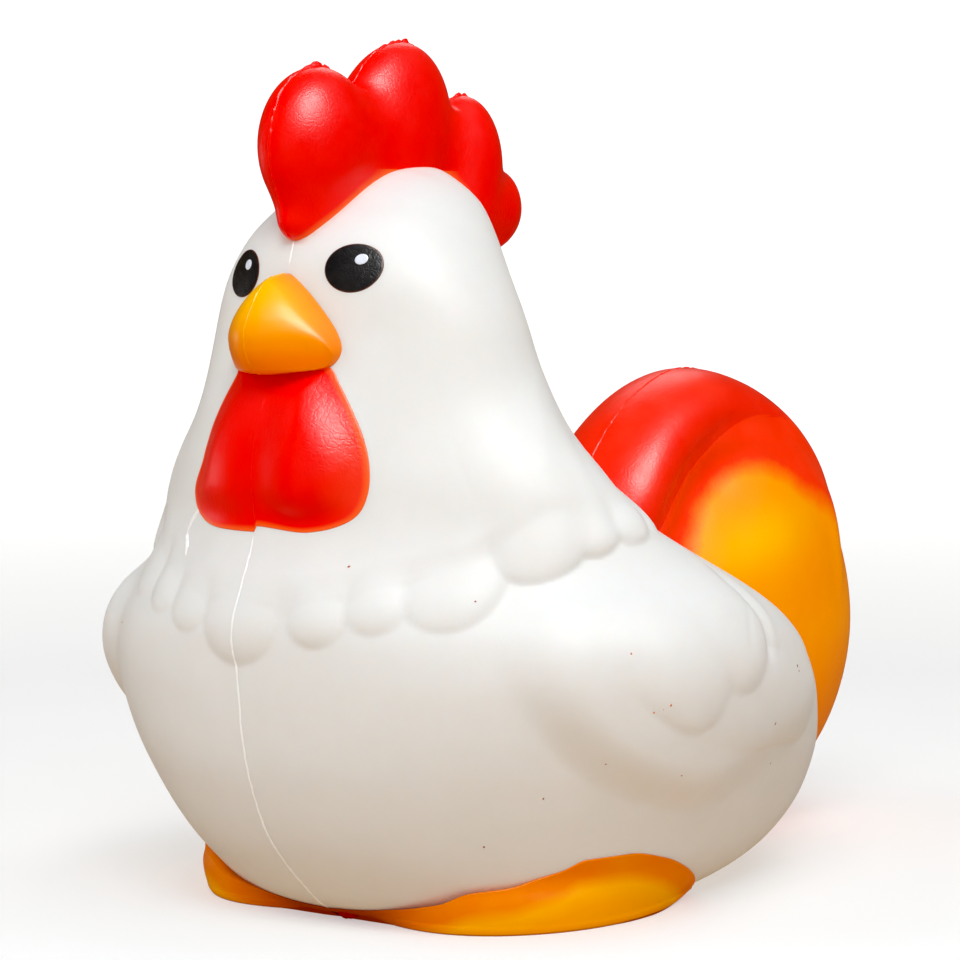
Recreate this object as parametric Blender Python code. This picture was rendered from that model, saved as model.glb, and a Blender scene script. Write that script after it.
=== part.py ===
"""Rooster squeeze toy: one slow-rise foam moulding, taken apart into its colour zones.

The bird faces -Y, +X is its left side, +Z is up. The origin is on the surface that the toy
stands on, below the middle of its overall box. Sizes below are in millimetres.
"""
import math

import bmesh
import bpy
from mathutils import Matrix, Vector

# ---------------------------------------------------------------- driving dimensions
MM = 0.001
NAME = "rooster_squeeze_toy"
HEIGHT = 125.0          # floor to the tallest lobe of the comb
BODY_TOP = 108.0        # top of the head dome, under the comb
Y_SHIFT = -18.9         # moves the design centre line onto the middle of the overall box
GAP = 0.35              # air between neighbouring zones
POWER = 2.1             # 2 is an ellipse; a little more is a fuller plan shape
RING_POINTS = 44        # facets round the body

# Body plan at each height: z, half width, y of the widest place, front y, back y
BODY_STATIONS = (
    (0.0, 28.0, -4.0, -31.0, 36.0),
    (1.5, 32.0, -3.0, -35.5, 46.0),
    (6.5, 37.0, 0.0, -42.0, 57.5),
    (13.0, 41.5, 2.0, -48.2, 62.5),
    (19.0, 45.0, 2.0, -51.5, 63.5),
    (25.0, 48.0, 0.5, -53.7, 61.0),
    (31.0, 50.5, -1.6, -54.7, 56.5),
    (37.0, 51.5, -4.1, -55.3, 50.0),
    (42.0, 50.5, -6.2, -55.8, 41.0),
    (47.0, 47.0, -8.6, -54.7, 30.0),
    (52.5, 41.5, -13.4, -51.7, 17.5),
    (58.0, 36.0, -18.7, -50.9, 7.5),
    (63.5, 31.2, -22.3, -50.7, 2.8),
    (69.0, 27.6, -24.5, -49.8, 0.0),
    (77.0, 24.9, -25.4, -47.8, -3.2),
    (85.0, 23.3, -26.1, -45.8, -6.6),
    (91.0, 21.0, -26.3, -44.4, -8.2),
    (96.0, 17.9, -25.5, -42.9, -7.8),
    (101.0, 14.0, -23.5, -38.3, -8.2),
    (105.0, 9.2, -22.0, -32.3, -11.5),
    (107.2, 4.6, -21.0, -26.3, -15.8),
)

# Comb lobes in the symmetry plane: y, z, half length, half thickness, half height, lean in degrees
COMB_LOBES = (
    (-38.5, 108.2, 9.6, 7.4, 14.2, 8.0),
    (-22.0, 110.5, 11.0, 7.6, 14.6, -14.0),
    (-6.5, 106.5, 8.0, 6.6, 12.6, -26.0),
    (3.8, 100.0, 6.2, 5.6, 7.6, -38.0),
)
COMB_RIDGE = (-18.0, 100.5, 24.0, 6.0, 9.5, -4.0)   # the band that ties the lobes together

BEAK_CENTRE, BEAK_HALF = (0.0, -44.2, 83.0), (11.2, 8.9, 9.6)
BEAK_BOTTOM_Z = 77.6
EYE_CENTRE, EYE_HALF_WIDTH, EYE_HALF_HEIGHT, EYE_TURN = (9.7, -42.3, 92.3), 4.3, 3.5, 32.0
EYE_PROUD = 1.0

# Tail: a red crest that follows an arc round the tail's middle, over an orange plume
TAIL_MIDDLE = (58.0, 36.0)                            # y, z
RED_CREST = (                                         # angle, centre radius, half width, half depth
    (158.0, 30.0, 9.0, 9.0),
    (140.0, 30.0, 10.0, 10.0),
    (120.0, 30.2, 11.0, 10.0),
    (100.0, 30.3, 12.0, 10.0),
    (80.0, 29.8, 12.5, 10.0),
    (60.0, 28.2, 12.8, 10.0),
    (40.0, 25.8, 12.5, 9.5),
    (22.0, 23.5, 11.5, 8.5),
    (6.0, 21.5, 9.0, 7.0),
)
ORANGE_CENTRE, ORANGE_HALF, ORANGE_LEAN = (0.0, 64.0, 33.0), (19.5, 29.5, 27.5), 10.0

FOOT_CENTRE, FOOT_HALF = (16.5, -9.5, 1.0), (19.0, 26.0, 10.5)

# Wattle outline, from the top down: half width, z
WATTLE_OUTLINE = ((0.0, 77.2), (8.3, 77.2), (11.6, 74.0), (14.0, 70.2), (15.6, 66.2),
                  (15.7, 62.4), (13.8, 59.0), (9.4, 56.9), (4.5, 56.0), (0.0, 55.8))
WATTLE_PROUD = 1.9

COLOURS = {
    "foam_white": ((0.86, 0.84, 0.80), 0.42),
    "paint_red": ((0.86, 0.03, 0.015), 0.38),
    "paint_beak": ((0.93, 0.40, 0.02), 0.38),
    "paint_black": ((0.015, 0.014, 0.015), 0.45),
    "paint_orange": ((0.93, 0.32, 0.01), 0.38),
}


# ---------------------------------------------------------------- scene helpers
for old in list(bpy.data.objects):
    bpy.data.objects.remove(old, do_unlink=True)

parts = bpy.data.collections.new(NAME)
cutters = bpy.data.collections.new(NAME + "_cutters")
bpy.context.scene.collection.children.link(parts)
bpy.context.scene.collection.children.link(cutters)


def material(name, colour_key):
    colour, rough = COLOURS[colour_key]
    mat = bpy.data.materials.new(name)
    mat.use_nodes = True
    shader = mat.node_tree.nodes["Principled BSDF"]
    shader.inputs["Base Color"].default_value = (*colour, 1.0)
    shader.inputs["Roughness"].default_value = rough
    shader.inputs["Metallic"].default_value = 0.0
    return mat


def point(x, y, z):
    return Vector((x * MM, (y + Y_SHIFT) * MM, z * MM))


def add(name, bm, where, colour_key=None):
    bmesh.ops.recalc_face_normals(bm, faces=bm.faces)
    mesh = bpy.data.meshes.new(name)
    bm.to_mesh(mesh)
    bm.free()
    obj = bpy.data.objects.new(name, mesh)
    where.objects.link(obj)
    mesh.shade_smooth()
    if colour_key:
        mesh.materials.append(material(name, colour_key))
    if where is cutters:
        obj.hide_render = True
        obj.display_type = "WIRE"
    return obj


def boolean(obj, other, operation):
    mod = obj.modifiers.new(operation.lower() + "_" + other.name, "BOOLEAN")
    mod.operation = operation
    mod.solver = "EXACT"
    mod.object = other
    return mod


def loft(bm, rings):
    """Closed body through rings of equal point count, with a flat cap at each end."""
    made = [[bm.verts.new(p) for p in ring] for ring in rings]
    n = len(made[0])
    for low, high in zip(made, made[1:]):
        for i in range(n):
            j = (i + 1) % n
            bm.faces.new((low[i], low[j], high[j], high[i]))
    bm.faces.new(list(reversed(made[0])))
    bm.faces.new(made[-1])


# ---------------------------------------------------------------- foam body
def plan_ring(a, ym, front, back, z, grow=0.0):
    """One level of the body: a rounded plan, fuller than an ellipse."""
    ring = []
    for i in range(RING_POINTS):
        t = 2 * math.pi * i / RING_POINTS
        c, s = math.sin(t), -math.cos(t)
        b = (ym - front) if s < 0 else (back - ym)
        r = (abs(c) ** POWER + abs(s) ** POWER) ** (-1 / POWER)
        ring.append(point((a + grow) * c * r, ym + (b + grow) * s * r, z))
    return ring


def body_mesh(grow=0.0):
    bm = bmesh.new()
    rings = []
    for z, a, ym, front, back in BODY_STATIONS:
        lift = grow * (z - 40.0) / 68.0 if z > 40.0 else 0.0
        if z == 0.0 and grow:
            z = -4.0
        rings.append(plan_ring(a, ym, front, back, z + lift, grow))
    top = BODY_STATIONS[-1]
    rings.append(plan_ring(1.5, -20.5, -22.0, -19.0, BODY_TOP + grow, 0.0))
    loft(bm, rings)
    return bm


foam_body = add("foam_body", body_mesh(), parts, "foam_white")
body_clearance = add("body_clearance", body_mesh(GAP + 0.15), cutters)


# ---------------------------------------------------------------- small shape makers
def ellipsoid(bm, centre, half, lean=0.0, u=24, v=14):
    """Egg-shaped lump; lean turns it about X, positive leans its top towards the front."""
    matrix = (
        Matrix.Translation(point(*centre))
        @ Matrix.Rotation(math.radians(lean), 4, "X")
        @ Matrix.Diagonal((half[0] * MM, half[1] * MM, half[2] * MM, 1.0))
    )
    bmesh.ops.create_uvsphere(bm, u_segments=u, v_segments=v, radius=1.0, matrix=matrix)


def lump(name, centre, half, lean=0.0, u=24, v=14):
    bm = bmesh.new()
    ellipsoid(bm, centre, half, lean, u, v)
    return add(name, bm, cutters)


def apply(obj):
    """Bakes an object's modifiers, so that its shape can be grown or used again."""
    depsgraph = bpy.context.evaluated_depsgraph_get()
    baked = bpy.data.meshes.new_from_object(obj.evaluated_get(depsgraph))
    obj.modifiers.clear()
    obj.data = baked
    return obj


# ---------------------------------------------------------------- comb
first = COMB_LOBES[0]
bm = bmesh.new()
ellipsoid(bm, (0.0, first[0], first[1]), (first[3], first[2], first[4]), first[5])
comb = add("comb", bm, parts, "paint_red")
for k, (y, z, length, thick, tall, lean) in enumerate(COMB_LOBES[1:] + (COMB_RIDGE,)):
    boolean(comb, lump("comb_lobe_%d" % (k + 2), (0.0, y, z), (thick, length, tall), lean), "UNION")
boolean(comb, body_clearance, "DIFFERENCE")

# ---------------------------------------------------------------- beak: a rounded wedge
bm = bmesh.new()
ellipsoid(bm, BEAK_CENTRE, BEAK_HALF, 0.0, 30, 18)
for v in bm.verts:
    k = (v.co.z / MM - BEAK_CENTRE[2]) / BEAK_HALF[2]    # -1 at the bottom, 1 at the top
    v.co.x *= 1.0 - 0.28 * k                             # wide at the mouth, narrow at the brow
beak = add("beak", bm, parts, "paint_beak")
boolean(beak, body_clearance, "DIFFERENCE")
bm = bmesh.new()
bmesh.ops.create_cube(bm, size=1.0, matrix=Matrix.Translation(point(0, -50, BEAK_BOTTOM_Z - 10)) @ Matrix.Diagonal((0.06, 0.06, 0.02, 1)))
beak_under_trim = add("beak_under_trim", bm, cutters)
boolean(beak, beak_under_trim, "DIFFERENCE")


# ---------------------------------------------------------------- zones that follow the skin
def skin_patch(name, outline, matrix, depth, proud, colour_key):
    """A raised patch: the skin grown outwards by proud, kept inside an outline, clear of the body."""
    bm = bmesh.new()
    face = bm.faces.new([bm.verts.new((x * MM, -depth * MM, z * MM)) for x, z in outline])
    swept = bmesh.ops.extrude_face_region(bm, geom=[face])
    bmesh.ops.translate(bm, vec=(0, 2 * depth * MM, 0), verts=[e for e in swept["geom"] if isinstance(e, bmesh.types.BMVert)])
    bmesh.ops.transform(bm, matrix=matrix, verts=bm.verts)
    patch = add(name, bm, parts, colour_key)
    grown = add(name + "_skin", body_mesh(proud), cutters)
    boolean(patch, grown, "INTERSECT")
    boolean(patch, body_clearance, "DIFFERENCE")
    return patch


half = list(WATTLE_OUTLINE)
pear = half + [(-x, z) for x, z in reversed(half[1:-1])]
wattle = skin_patch("wattle", pear, Matrix.Translation(point(0, -50, 0)), 12.0, WATTLE_PROUD, "paint_red")


def eye(name, side):
    x, y, z = EYE_CENTRE
    oval = [(EYE_HALF_WIDTH * math.cos(t), EYE_HALF_HEIGHT * math.sin(t)) for t in (2 * math.pi * i / 24 for i in range(24))]
    matrix = Matrix.Translation(point(x * side, y, z)) @ Matrix.Rotation(math.radians(EYE_TURN) * side, 4, "Z")
    return skin_patch(name, oval, matrix, 5.0, EYE_PROUD, "paint_black")


eye_left = eye("eye_left", 1)
eye_right = eye("eye_right", -1)

# ---------------------------------------------------------------- tail
def crest_mesh(points=24):
    """Thick curling crest: oval sections set square to an arc in the symmetry plane."""
    bm = bmesh.new()
    rings = []

    def section(angle, radius, wide, deep):
        c, s = math.cos(math.radians(angle)), math.sin(math.radians(angle))
        ring = []
        for k in range(points):
            t = 2 * math.pi * k / points
            r = radius + deep * math.sin(t)
            ring.append(point(wide * math.cos(t), TAIL_MIDDLE[0] + r * c, TAIL_MIDDLE[1] + r * s))
        return ring

    angle, radius, wide, deep = RED_CREST[0]
    rings.append(section(angle + 8, radius, wide * 0.6, deep * 0.6))
    for station in RED_CREST:
        rings.append(section(*station))
    angle, radius, wide, deep = RED_CREST[-1]
    rings.append(section(angle - 9, radius - 1.0, wide * 0.75, deep * 0.75))
    rings.append(section(angle - 14, radius - 1.6, wide * 0.4, deep * 0.4))
    loft(bm, rings)
    return bm


bm = bmesh.new()
ellipsoid(bm, ORANGE_CENTRE, ORANGE_HALF, ORANGE_LEAN, 40, 24)
tail_plume_orange = add("tail_plume_orange", bm, parts, "paint_orange")
bm = bmesh.new()
ellipsoid(bm, ORANGE_CENTRE, tuple(h + GAP + 0.25 for h in ORANGE_HALF), ORANGE_LEAN, 40, 24)
orange_clearance = add("orange_clearance", bm, cutters)
tail_plume_red = add("tail_plume_red", crest_mesh(), parts, "paint_red")
boolean(tail_plume_orange, body_clearance, "DIFFERENCE")
boolean(tail_plume_red, body_clearance, "DIFFERENCE")
boolean(tail_plume_red, orange_clearance, "DIFFERENCE")

# ---------------------------------------------------------------- feet: pads round the base
bm = bmesh.new()
bmesh.ops.create_cube(bm, size=1.0, matrix=Matrix.Translation(point(0, 0, -20.0)) @ Matrix.Diagonal((0.3, 0.3, 0.04, 1)))
floor_trim = add("floor_trim", bm, cutters)
bm = bmesh.new()
bmesh.ops.create_cube(bm, size=1.0, matrix=Matrix.Translation(point(0, -20, 0)) @ Matrix.Diagonal((0.0006, 0.2, 0.2, 1)))
centre_trim = add("centre_trim", bm, cutters)


def foot(name, side):
    bm = bmesh.new()
    x, y, z = FOOT_CENTRE
    ellipsoid(bm, (x * side, y, z), FOOT_HALF, 0.0, 36, 20)
    obj = add(name, bm, parts, "paint_orange")
    boolean(obj, floor_trim, "DIFFERENCE")
    boolean(obj, body_clearance, "DIFFERENCE")
    boolean(obj, centre_trim, "DIFFERENCE")
    return obj


foot_left = foot("foot_left", 1)
foot_right = foot("foot_right", -1)
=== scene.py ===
"""Looks of the rooster squeeze toy: one foam moulding with painted zones, on a pale floor.

Shapes are worked out in millimetres in the design frame: the bird faces -Y, its left side is +X,
the floor is z = 0 and x = 0 is the parting plane of the mould. They are moved onto the frame's
origin and turned into metres when a mesh is made.
"""
import math

import bpy
import numpy as np
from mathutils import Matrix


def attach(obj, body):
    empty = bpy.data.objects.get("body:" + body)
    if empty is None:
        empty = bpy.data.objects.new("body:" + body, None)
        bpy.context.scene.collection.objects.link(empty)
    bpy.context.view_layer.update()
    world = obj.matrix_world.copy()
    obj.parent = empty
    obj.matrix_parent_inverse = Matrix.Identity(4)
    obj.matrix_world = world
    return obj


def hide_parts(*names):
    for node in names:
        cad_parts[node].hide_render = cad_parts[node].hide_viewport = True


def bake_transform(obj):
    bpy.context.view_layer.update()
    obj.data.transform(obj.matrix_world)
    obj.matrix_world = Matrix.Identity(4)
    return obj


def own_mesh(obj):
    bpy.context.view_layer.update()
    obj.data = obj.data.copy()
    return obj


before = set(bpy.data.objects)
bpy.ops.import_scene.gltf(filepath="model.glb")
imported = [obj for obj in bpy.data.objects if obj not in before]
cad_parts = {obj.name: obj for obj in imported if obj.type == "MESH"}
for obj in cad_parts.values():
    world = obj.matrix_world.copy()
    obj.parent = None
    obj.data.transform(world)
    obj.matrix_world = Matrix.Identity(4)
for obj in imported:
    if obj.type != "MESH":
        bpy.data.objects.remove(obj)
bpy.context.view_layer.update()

MM = 0.001
Y_SHIFT = -18.9
TAU = 2 * math.pi
rng = np.random.default_rng(7)


# ---------------------------------------------------------------- small numeric tools
def through(xs, ys):
    """A smooth curve through the stations that never overshoots them."""
    x, y = np.asarray(xs, float), np.asarray(ys, float)
    h, n = np.diff(x), len(x)
    d = np.diff(y) / h
    m = np.zeros(n)
    for i in range(1, n - 1):
        if d[i - 1] * d[i] > 0:
            a, b = 2 * h[i] + h[i - 1], h[i] + 2 * h[i - 1]
            m[i] = (a + b) / (a / d[i - 1] + b / d[i])
    m[0], m[-1] = d[0], d[-1]

    def curve(q):
        q = np.clip(np.asarray(q, float), x[0], x[-1])
        i = np.clip(np.searchsorted(x, q, side="right") - 1, 0, n - 2)
        t = (q - x[i]) / h[i]
        return (y[i] * (1 + 2 * t) * (1 - t) ** 2 + m[i] * h[i] * t * (1 - t) ** 2
                + y[i + 1] * t * t * (3 - 2 * t) + m[i + 1] * h[i] * t * t * (t - 1))

    return curve


def smooth(t, a=0.0, b=1.0):
    t = np.clip((np.asarray(t, float) - a) / (b - a), 0, 1)
    return t * t * (3 - 2 * t)


def smin(a, b, k):
    h = np.clip(0.5 + 0.5 * (b - a) / k, 0, 1)
    return b + (a - b) * h - k * h * (1 - h)


def smax(a, b, k):
    return -smin(-a, -b, k)


def over(a, b, k):
    """Smooth maximum of two heights that adds nothing where either of them is zero."""
    k = np.minimum(k, 2.0 * np.minimum(a, b)) + 1e-6
    h = np.clip(0.5 + 0.5 * (a - b) / k, 0, 1)
    return b + (a - b) * h + k * h * (1 - h)


def closed_spline(points, count):
    """Even points along a closed smooth loop through the given ones."""
    p = np.asarray(points, float)
    n = len(p)
    fine = []
    for i in range(n):
        p0, p1, p2, p3 = p[i - 1], p[i], p[(i + 1) % n], p[(i + 2) % n]
        t = np.linspace(0, 1, 24, endpoint=False)[:, None]
        fine.append(0.5 * (2 * p1 + (p2 - p0) * t + (2 * p0 - 5 * p1 + 4 * p2 - p3) * t**2
                           + (3 * p1 - p0 - 3 * p2 + p3) * t**3))
    fine = np.concatenate(fine + [fine[0][:1]])
    s = np.concatenate([[0], np.cumsum(np.linalg.norm(np.diff(fine, axis=0), axis=1))])
    q = np.linspace(0, s[-1], count, endpoint=False)
    return np.stack([np.interp(q, s, fine[:, k]) for k in range(fine.shape[1])], 1)


def inside_distance(px, pz, loop):
    """Distance from points to a closed outline, positive inside it."""
    a = loop
    b = np.roll(loop, -1, axis=0)
    best = np.full(px.shape, 1e9)
    turn = np.zeros(px.shape, bool)
    for (ax, az), (bx, bz) in zip(a, b):
        ex, ez = bx - ax, bz - az
        wx, wz = px - ax, pz - az
        t = np.clip((wx * ex + wz * ez) / max(ex * ex + ez * ez, 1e-9), 0, 1)
        best = np.minimum(best, (wx - ex * t) ** 2 + (wz - ez * t) ** 2)
        crossing = (az > pz) != (bz > pz)
        with np.errstate(divide="ignore", invalid="ignore"):
            cut = px < ex * (pz - az) / (ez if ez else 1e-12) + ax
        turn ^= crossing & cut
    return np.where(turn, 1, -1) * np.sqrt(best)


def hash_noise(q, seed=0):
    """Smooth repeatable 1-D noise between -1 and 1."""
    q = np.asarray(q, float)
    i = np.floor(q)
    f = q - i

    def r(k):
        return np.modf(np.abs(np.sin((k + 17.13 * seed) * 12.9898) * 43758.5453))[0] * 2 - 1

    f = f * f * (3 - 2 * f)
    return r(i) * (1 - f) + r(i + 1) * f


# ---------------------------------------------------------------- the body's plain skin
STATIONS = np.array((
    # z, half width, y of the widest place, front y, back y, power of the section's curve
    (0.0, 28.0, -4.0, -31.0, 36.0, 2.1),
    (1.5, 32.0, -3.0, -35.5, 46.0, 2.1),
    (6.5, 37.0, 0.0, -42.0, 57.5, 2.1),
    (13.0, 41.0, 1.2, -48.2, 61.6, 2.1),
    (19.0, 44.3, 0.2, -51.5, 61.0, 2.1),
    (25.0, 47.0, -1.8, -53.7, 57.6, 2.1),
    (31.0, 48.9, -3.9, -54.7, 53.2, 2.1),
    (36.5, 49.6, -5.4, -55.2, 47.0, 2.1),
    (42.0, 48.5, -6.2, -55.3, 38.5, 2.05),
    (47.0, 45.9, -8.6, -54.0, 28.6, 1.9),
    (52.5, 42.2, -13.4, -51.2, 17.8, 1.72),
    (58.0, 38.0, -18.7, -50.2, 8.2, 1.6),
    (63.5, 34.3, -22.3, -50.7, 2.8, 1.55),
    (69.0, 30.2, -24.5, -49.8, -0.2, 1.62),
    (77.0, 26.2, -25.4, -46.8, -3.2, 1.85),
    (85.0, 23.8, -26.1, -44.5, -6.6, 2.0),
    (91.0, 21.0, -26.3, -44.2, -8.2, 2.1),
    (96.0, 17.9, -25.5, -42.9, -7.8, 2.1),
    (101.0, 14.0, -23.5, -38.3, -8.2, 2.1),
    (105.0, 9.2, -22.0, -32.3, -11.5, 2.1),
    (107.2, 4.6, -21.0, -26.3, -15.8, 2.1),
    (108.0, 0.0, -20.5, -20.5, -20.5, 2.1),
))
TOP = 108.0
_PZ = np.arange(0, TOP + 0.01, 0.02)
_ease = 3.2 * smooth(_PZ, 10, 20) * (1 - smooth(_PZ, 92, 103))


def eased(column):
    """The stations' curve with its kinks taken out, as a fine table."""
    curve = through(STATIONS[:, 0], STATIONS[:, column])
    taps = np.linspace(-1, 1, 13)
    share = (1 - taps**2) + 0.05
    table = sum(k * curve(_PZ + t * _ease) for k, t in zip(share, taps)) / share.sum()
    return lambda z: np.interp(z, _PZ, table)


half_width, middle_y, front_y, back_y, power_at = (eased(k) for k in (1, 2, 3, 4, 5))
KEEL = 0.012        # rounds the section where it would come to an edge


def reach(c, s, p):
    """How far the unit section reaches in the direction (c, s)."""
    k = (KEEL ** (p / 2) + (1 + KEEL) ** (p / 2)) ** (1 / p)
    return k * ((c * c + KEEL) ** (p / 2) + (s * s + KEEL) ** (p / 2)) ** (-1 / p)


def plain(th, z):
    """Point of the plain skin. th runs from the front seam (0) through the bird's left side."""
    th, z = np.broadcast_arrays(np.asarray(th, float), np.asarray(z, float))
    a, ym, yf, yb = half_width(z), middle_y(z), front_y(z), back_y(z)
    c, s = np.sin(th), -np.cos(th)
    b = np.where(s < 0, ym - yf, yb - ym)
    r = reach(c, s, power_at(z))
    return np.stack([a * c * r, ym + b * s * r, z], -1)


def plain_normal(th, z):
    e, g = 2e-3, 0.05
    zl, zh = np.clip(z - g, 0, TOP - 0.02), np.clip(z + g, 0.02, TOP)
    n = np.cross(plain(th + e, z) - plain(th - e, z), plain(th, zh) - plain(th, zl))
    return n / np.maximum(np.linalg.norm(n, axis=-1, keepdims=True), 1e-12)


_TZ = np.linspace(0, TOP - 0.05, 433)
_TT = np.linspace(0, math.pi, 541)
_tp = plain(_TT[None, :], _TZ[:, None])
_TU = np.concatenate([np.zeros((len(_TZ), 1)), np.cumsum(np.linalg.norm(np.diff(_tp, axis=1), axis=2), axis=1)], 1)


def along(th, z):
    """Signed distance round the body from the front seam, in mm."""
    t = (np.asarray(th, float) + math.pi) % TAU - math.pi
    i = np.clip(np.asarray(z, float) / _TZ[-1] * (len(_TZ) - 1), 0, len(_TZ) - 1.001)
    j = np.abs(t) / math.pi * (len(_TT) - 1)
    j = np.clip(j, 0, len(_TT) - 1.001)
    i0, j0 = i.astype(int), j.astype(int)
    fi, fj = i - i0, j - j0
    u = ((_TU[i0, j0] * (1 - fi) + _TU[i0 + 1, j0] * fi) * (1 - fj)
         + (_TU[i0, j0 + 1] * (1 - fi) + _TU[i0 + 1, j0 + 1] * fi) * fj)
    return np.sign(t) * u


def turn_at(u, z):
    """The th of a point a distance u round from the front seam at height z."""
    row = int(np.clip(round(z / _TZ[-1] * (len(_TZ) - 1)), 0, len(_TZ) - 1))
    return np.sign(u) * np.interp(np.abs(u), _TU[row], _TT)


def turn_from_x(x, z):
    """The th of the front half's point with that x."""
    a, p = np.maximum(half_width(z), 1e-3), power_at(z)
    k = np.clip(np.asarray(x, float) / a, -0.99, 0.99)
    th = np.arctan2(k, (1 - np.abs(k) ** p) ** (1 / p))
    for _ in range(4):
        f = np.sin(th) * reach(np.sin(th), np.cos(th), p) - k
        g = (np.sin(th + 1e-3) * reach(np.sin(th + 1e-3), np.cos(th + 1e-3), p) - k - f) / 1e-3
        th = th - np.clip(f / np.where(np.abs(g) < 0.05, 0.05, g), -0.2, 0.2)
    return th


def depth_of(p):
    """First-order signed distance to the plain skin, negative inside the body."""
    p = np.asarray(p, float)

    def rho(q):
        z = np.clip(q[..., 2], 0, TOP - 0.02)
        a, ym, yf, yb = half_width(z), middle_y(z), front_y(z), back_y(z)
        dy = q[..., 1] - ym
        b = np.where(dy < 0, ym - yf, yb - ym)
        over = np.maximum(q[..., 2] - TOP + 0.02, 0) / 4
        X, Y = q[..., 0] / np.maximum(a, 0.05), dy / np.maximum(b, 0.05)
        R = np.sqrt(X * X + Y * Y) + 1e-9
        return R / reach(X / R, Y / R, power_at(z)) - 1 + over

    f = rho(p)
    e = 0.05
    g = np.stack([(rho(p + np.eye(3)[k] * e) - rho(p - np.eye(3)[k] * e)) / (2 * e) for k in range(3)], -1)
    return f / np.maximum(np.linalg.norm(g, axis=-1), 0.005)


# ---------------------------------------------------------------- relief in the skin
# Neck ruff: round lobes that hang from the neck. u of the middle and z of the lowest point on the
# bird's left side, the same two on its right side (no mould is quite even), radius, how far the
# lobe runs up the neck, lean of its line (mm towards the back at the top), height, crispness
RUFF = (
    (0.0, 38.4, None, None, 6.6, 11.0, 0.0, 1.5, 0.75),
    (12.3, 41.3, 10.6, 42.1, 4.2, 9.0, 0.0, 1.4, 0.8),
    (20.4, 43.3, 18.8, 44.0, 4.3, 9.0, -0.5, 1.4, 0.8),
    (30.0, 43.8, 29.0, 45.4, 6.9, 12.0, -2.0, 1.65, 0.7),
    (40.2, 49.8, 39.6, 50.6, 7.3, 17.0, -9.0, 2.0, 0.5),
    (48.2, 53.0, 48.4, 53.3, 3.9, 13.0, -7.5, 1.4, 0.5),
    (55.4, 54.4, 56.0, 54.6, 5.0, 12.0, -6.0, 1.4, 0.55),
    (64.2, 55.2, 65.0, 55.0, 5.0, 8.0, -9.5, 1.2, 0.65),
    (73.0, 55.4, 74.0, 55.4, 5.1, 8.0, -12.0, 1.2, 0.7),
    (82.0, 55.2, 83.0, 55.4, 5.2, 8.0, -13.4, 1.2, 0.7),
    (91.0, 55.0, 91.5, 55.0, 5.2, 8.0, -14.9, 1.2, 0.7),
    (99.5, 54.4, 99.5, 54.4, 5.0, 8.0, -16.3, 1.2, 0.7),
)
_rise = np.array([r[7] for r in RUFF])
_ru, _notch = {}, {}
for _side, _k in ((1, 0), (-1, 2)):
    _ru[_side] = np.array([r[0] if r[2] is None else r[_k] for r in RUFF])
    _notch[_side] = np.array([(r[1] if r[2] is None else r[_k + 1]) + 0.95 * r[4] + (1.5 if r[0] < 25 else 0.8) for r in RUFF])
# Wing feathers: line of centres from root to tip (u, z), radius, height at the tip
FEATHERS = (
    (((60.0, 52.0), (69.0, 47.4), (76.9, 39.6)), 6.3, 1.25),
    (((58.0, 49.0), (65.0, 45.5), (70.6, 42.8)), 4.7, 0.4),
    (((58.0, 42.0), (62.0, 39.6), (66.2, 36.6)), 7.0, 0.95),
    (((64.0, 37.0), (80.0, 31.8), (97.0, 30.2)), 8.0, 0.9),
    (((74.0, 49.0), (88.0, 43.5), (98.5, 38.0)), 6.2, 0.7),
)
CREASES = (
    (((72.0, 50.4), (78.4, 46.9), (82.5, 42.6), (84.0, 39.2), (83.7, 35.4)), 0.62, -0.32),
    (((76.0, 50.4), (81.5, 46.9), (85.0, 42.8), (86.0, 39.0), (85.4, 35.0)), 1.1, 0.22),
    (((79.0, 45.2), (77.4, 42.3), (76.9, 38.6)), 0.5, -0.2),
    (((99.5, 42.5), (104.4, 38.5), (107.6, 33.5)), 0.8, -0.3),
)
WING = closed_spline((
    (38.2, 53.0), (36.0, 45.0), (37.3, 38.8), (40.2, 32.8), (44.2, 27.0), (49.0, 22.2), (54.2, 18.8),
    (60.2, 16.3), (67.2, 14.8), (75.2, 15.4), (83.0, 17.7), (90.0, 19.9), (98.0, 21.7), (105.0, 24.2),
    (110.0, 28.6), (110.8, 34.0), (107.0, 40.0), (100.0, 46.0), (92.0, 50.5), (82.0, 54.0), (70.0, 57.0),
    (58.0, 58.5), (47.0, 57.0)), 150)
# Wattle border as x, z: the painted outline of the bib, and the foot of its swelling
BIB_HALF = ((0.0, 79.4), (4.0, 79.6), (8.0, 79.0), (10.2, 76.3), (12.4, 72.9), (14.3, 69.2), (15.4, 65.3),
            (15.4, 61.8), (14.2, 58.9), (11.6, 57.2), (8.2, 56.4), (4.1, 56.2), (0.0, 56.2))
BIB = closed_spline(list(BIB_HALF) + [(-x, z) for x, z in BIB_HALF[-2:0:-1]], 300)
BIB[:, 0] *= 1 - 0.13 * (BIB[:, 0] < 0) * smooth(BIB[:, 1], 60.5, 66) * (1 - smooth(BIB[:, 1], 77.5, 79.4))
# the mould halves don't meet quite level: the left half's lower border steps up at the seam
BIB[:, 1] += np.where((BIB[:, 0] > 0.02) & (BIB[:, 1] < 60), 0.85 * (1 - smooth(BIB[:, 0], 0.5, 8.5)), 0)


def steepness(u, z):
    """Length of skin per mm of height there."""
    th = turn_at(u, z)
    return float(np.linalg.norm(plain(th, z + 0.5) - plain(th, z - 0.5)))


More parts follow.
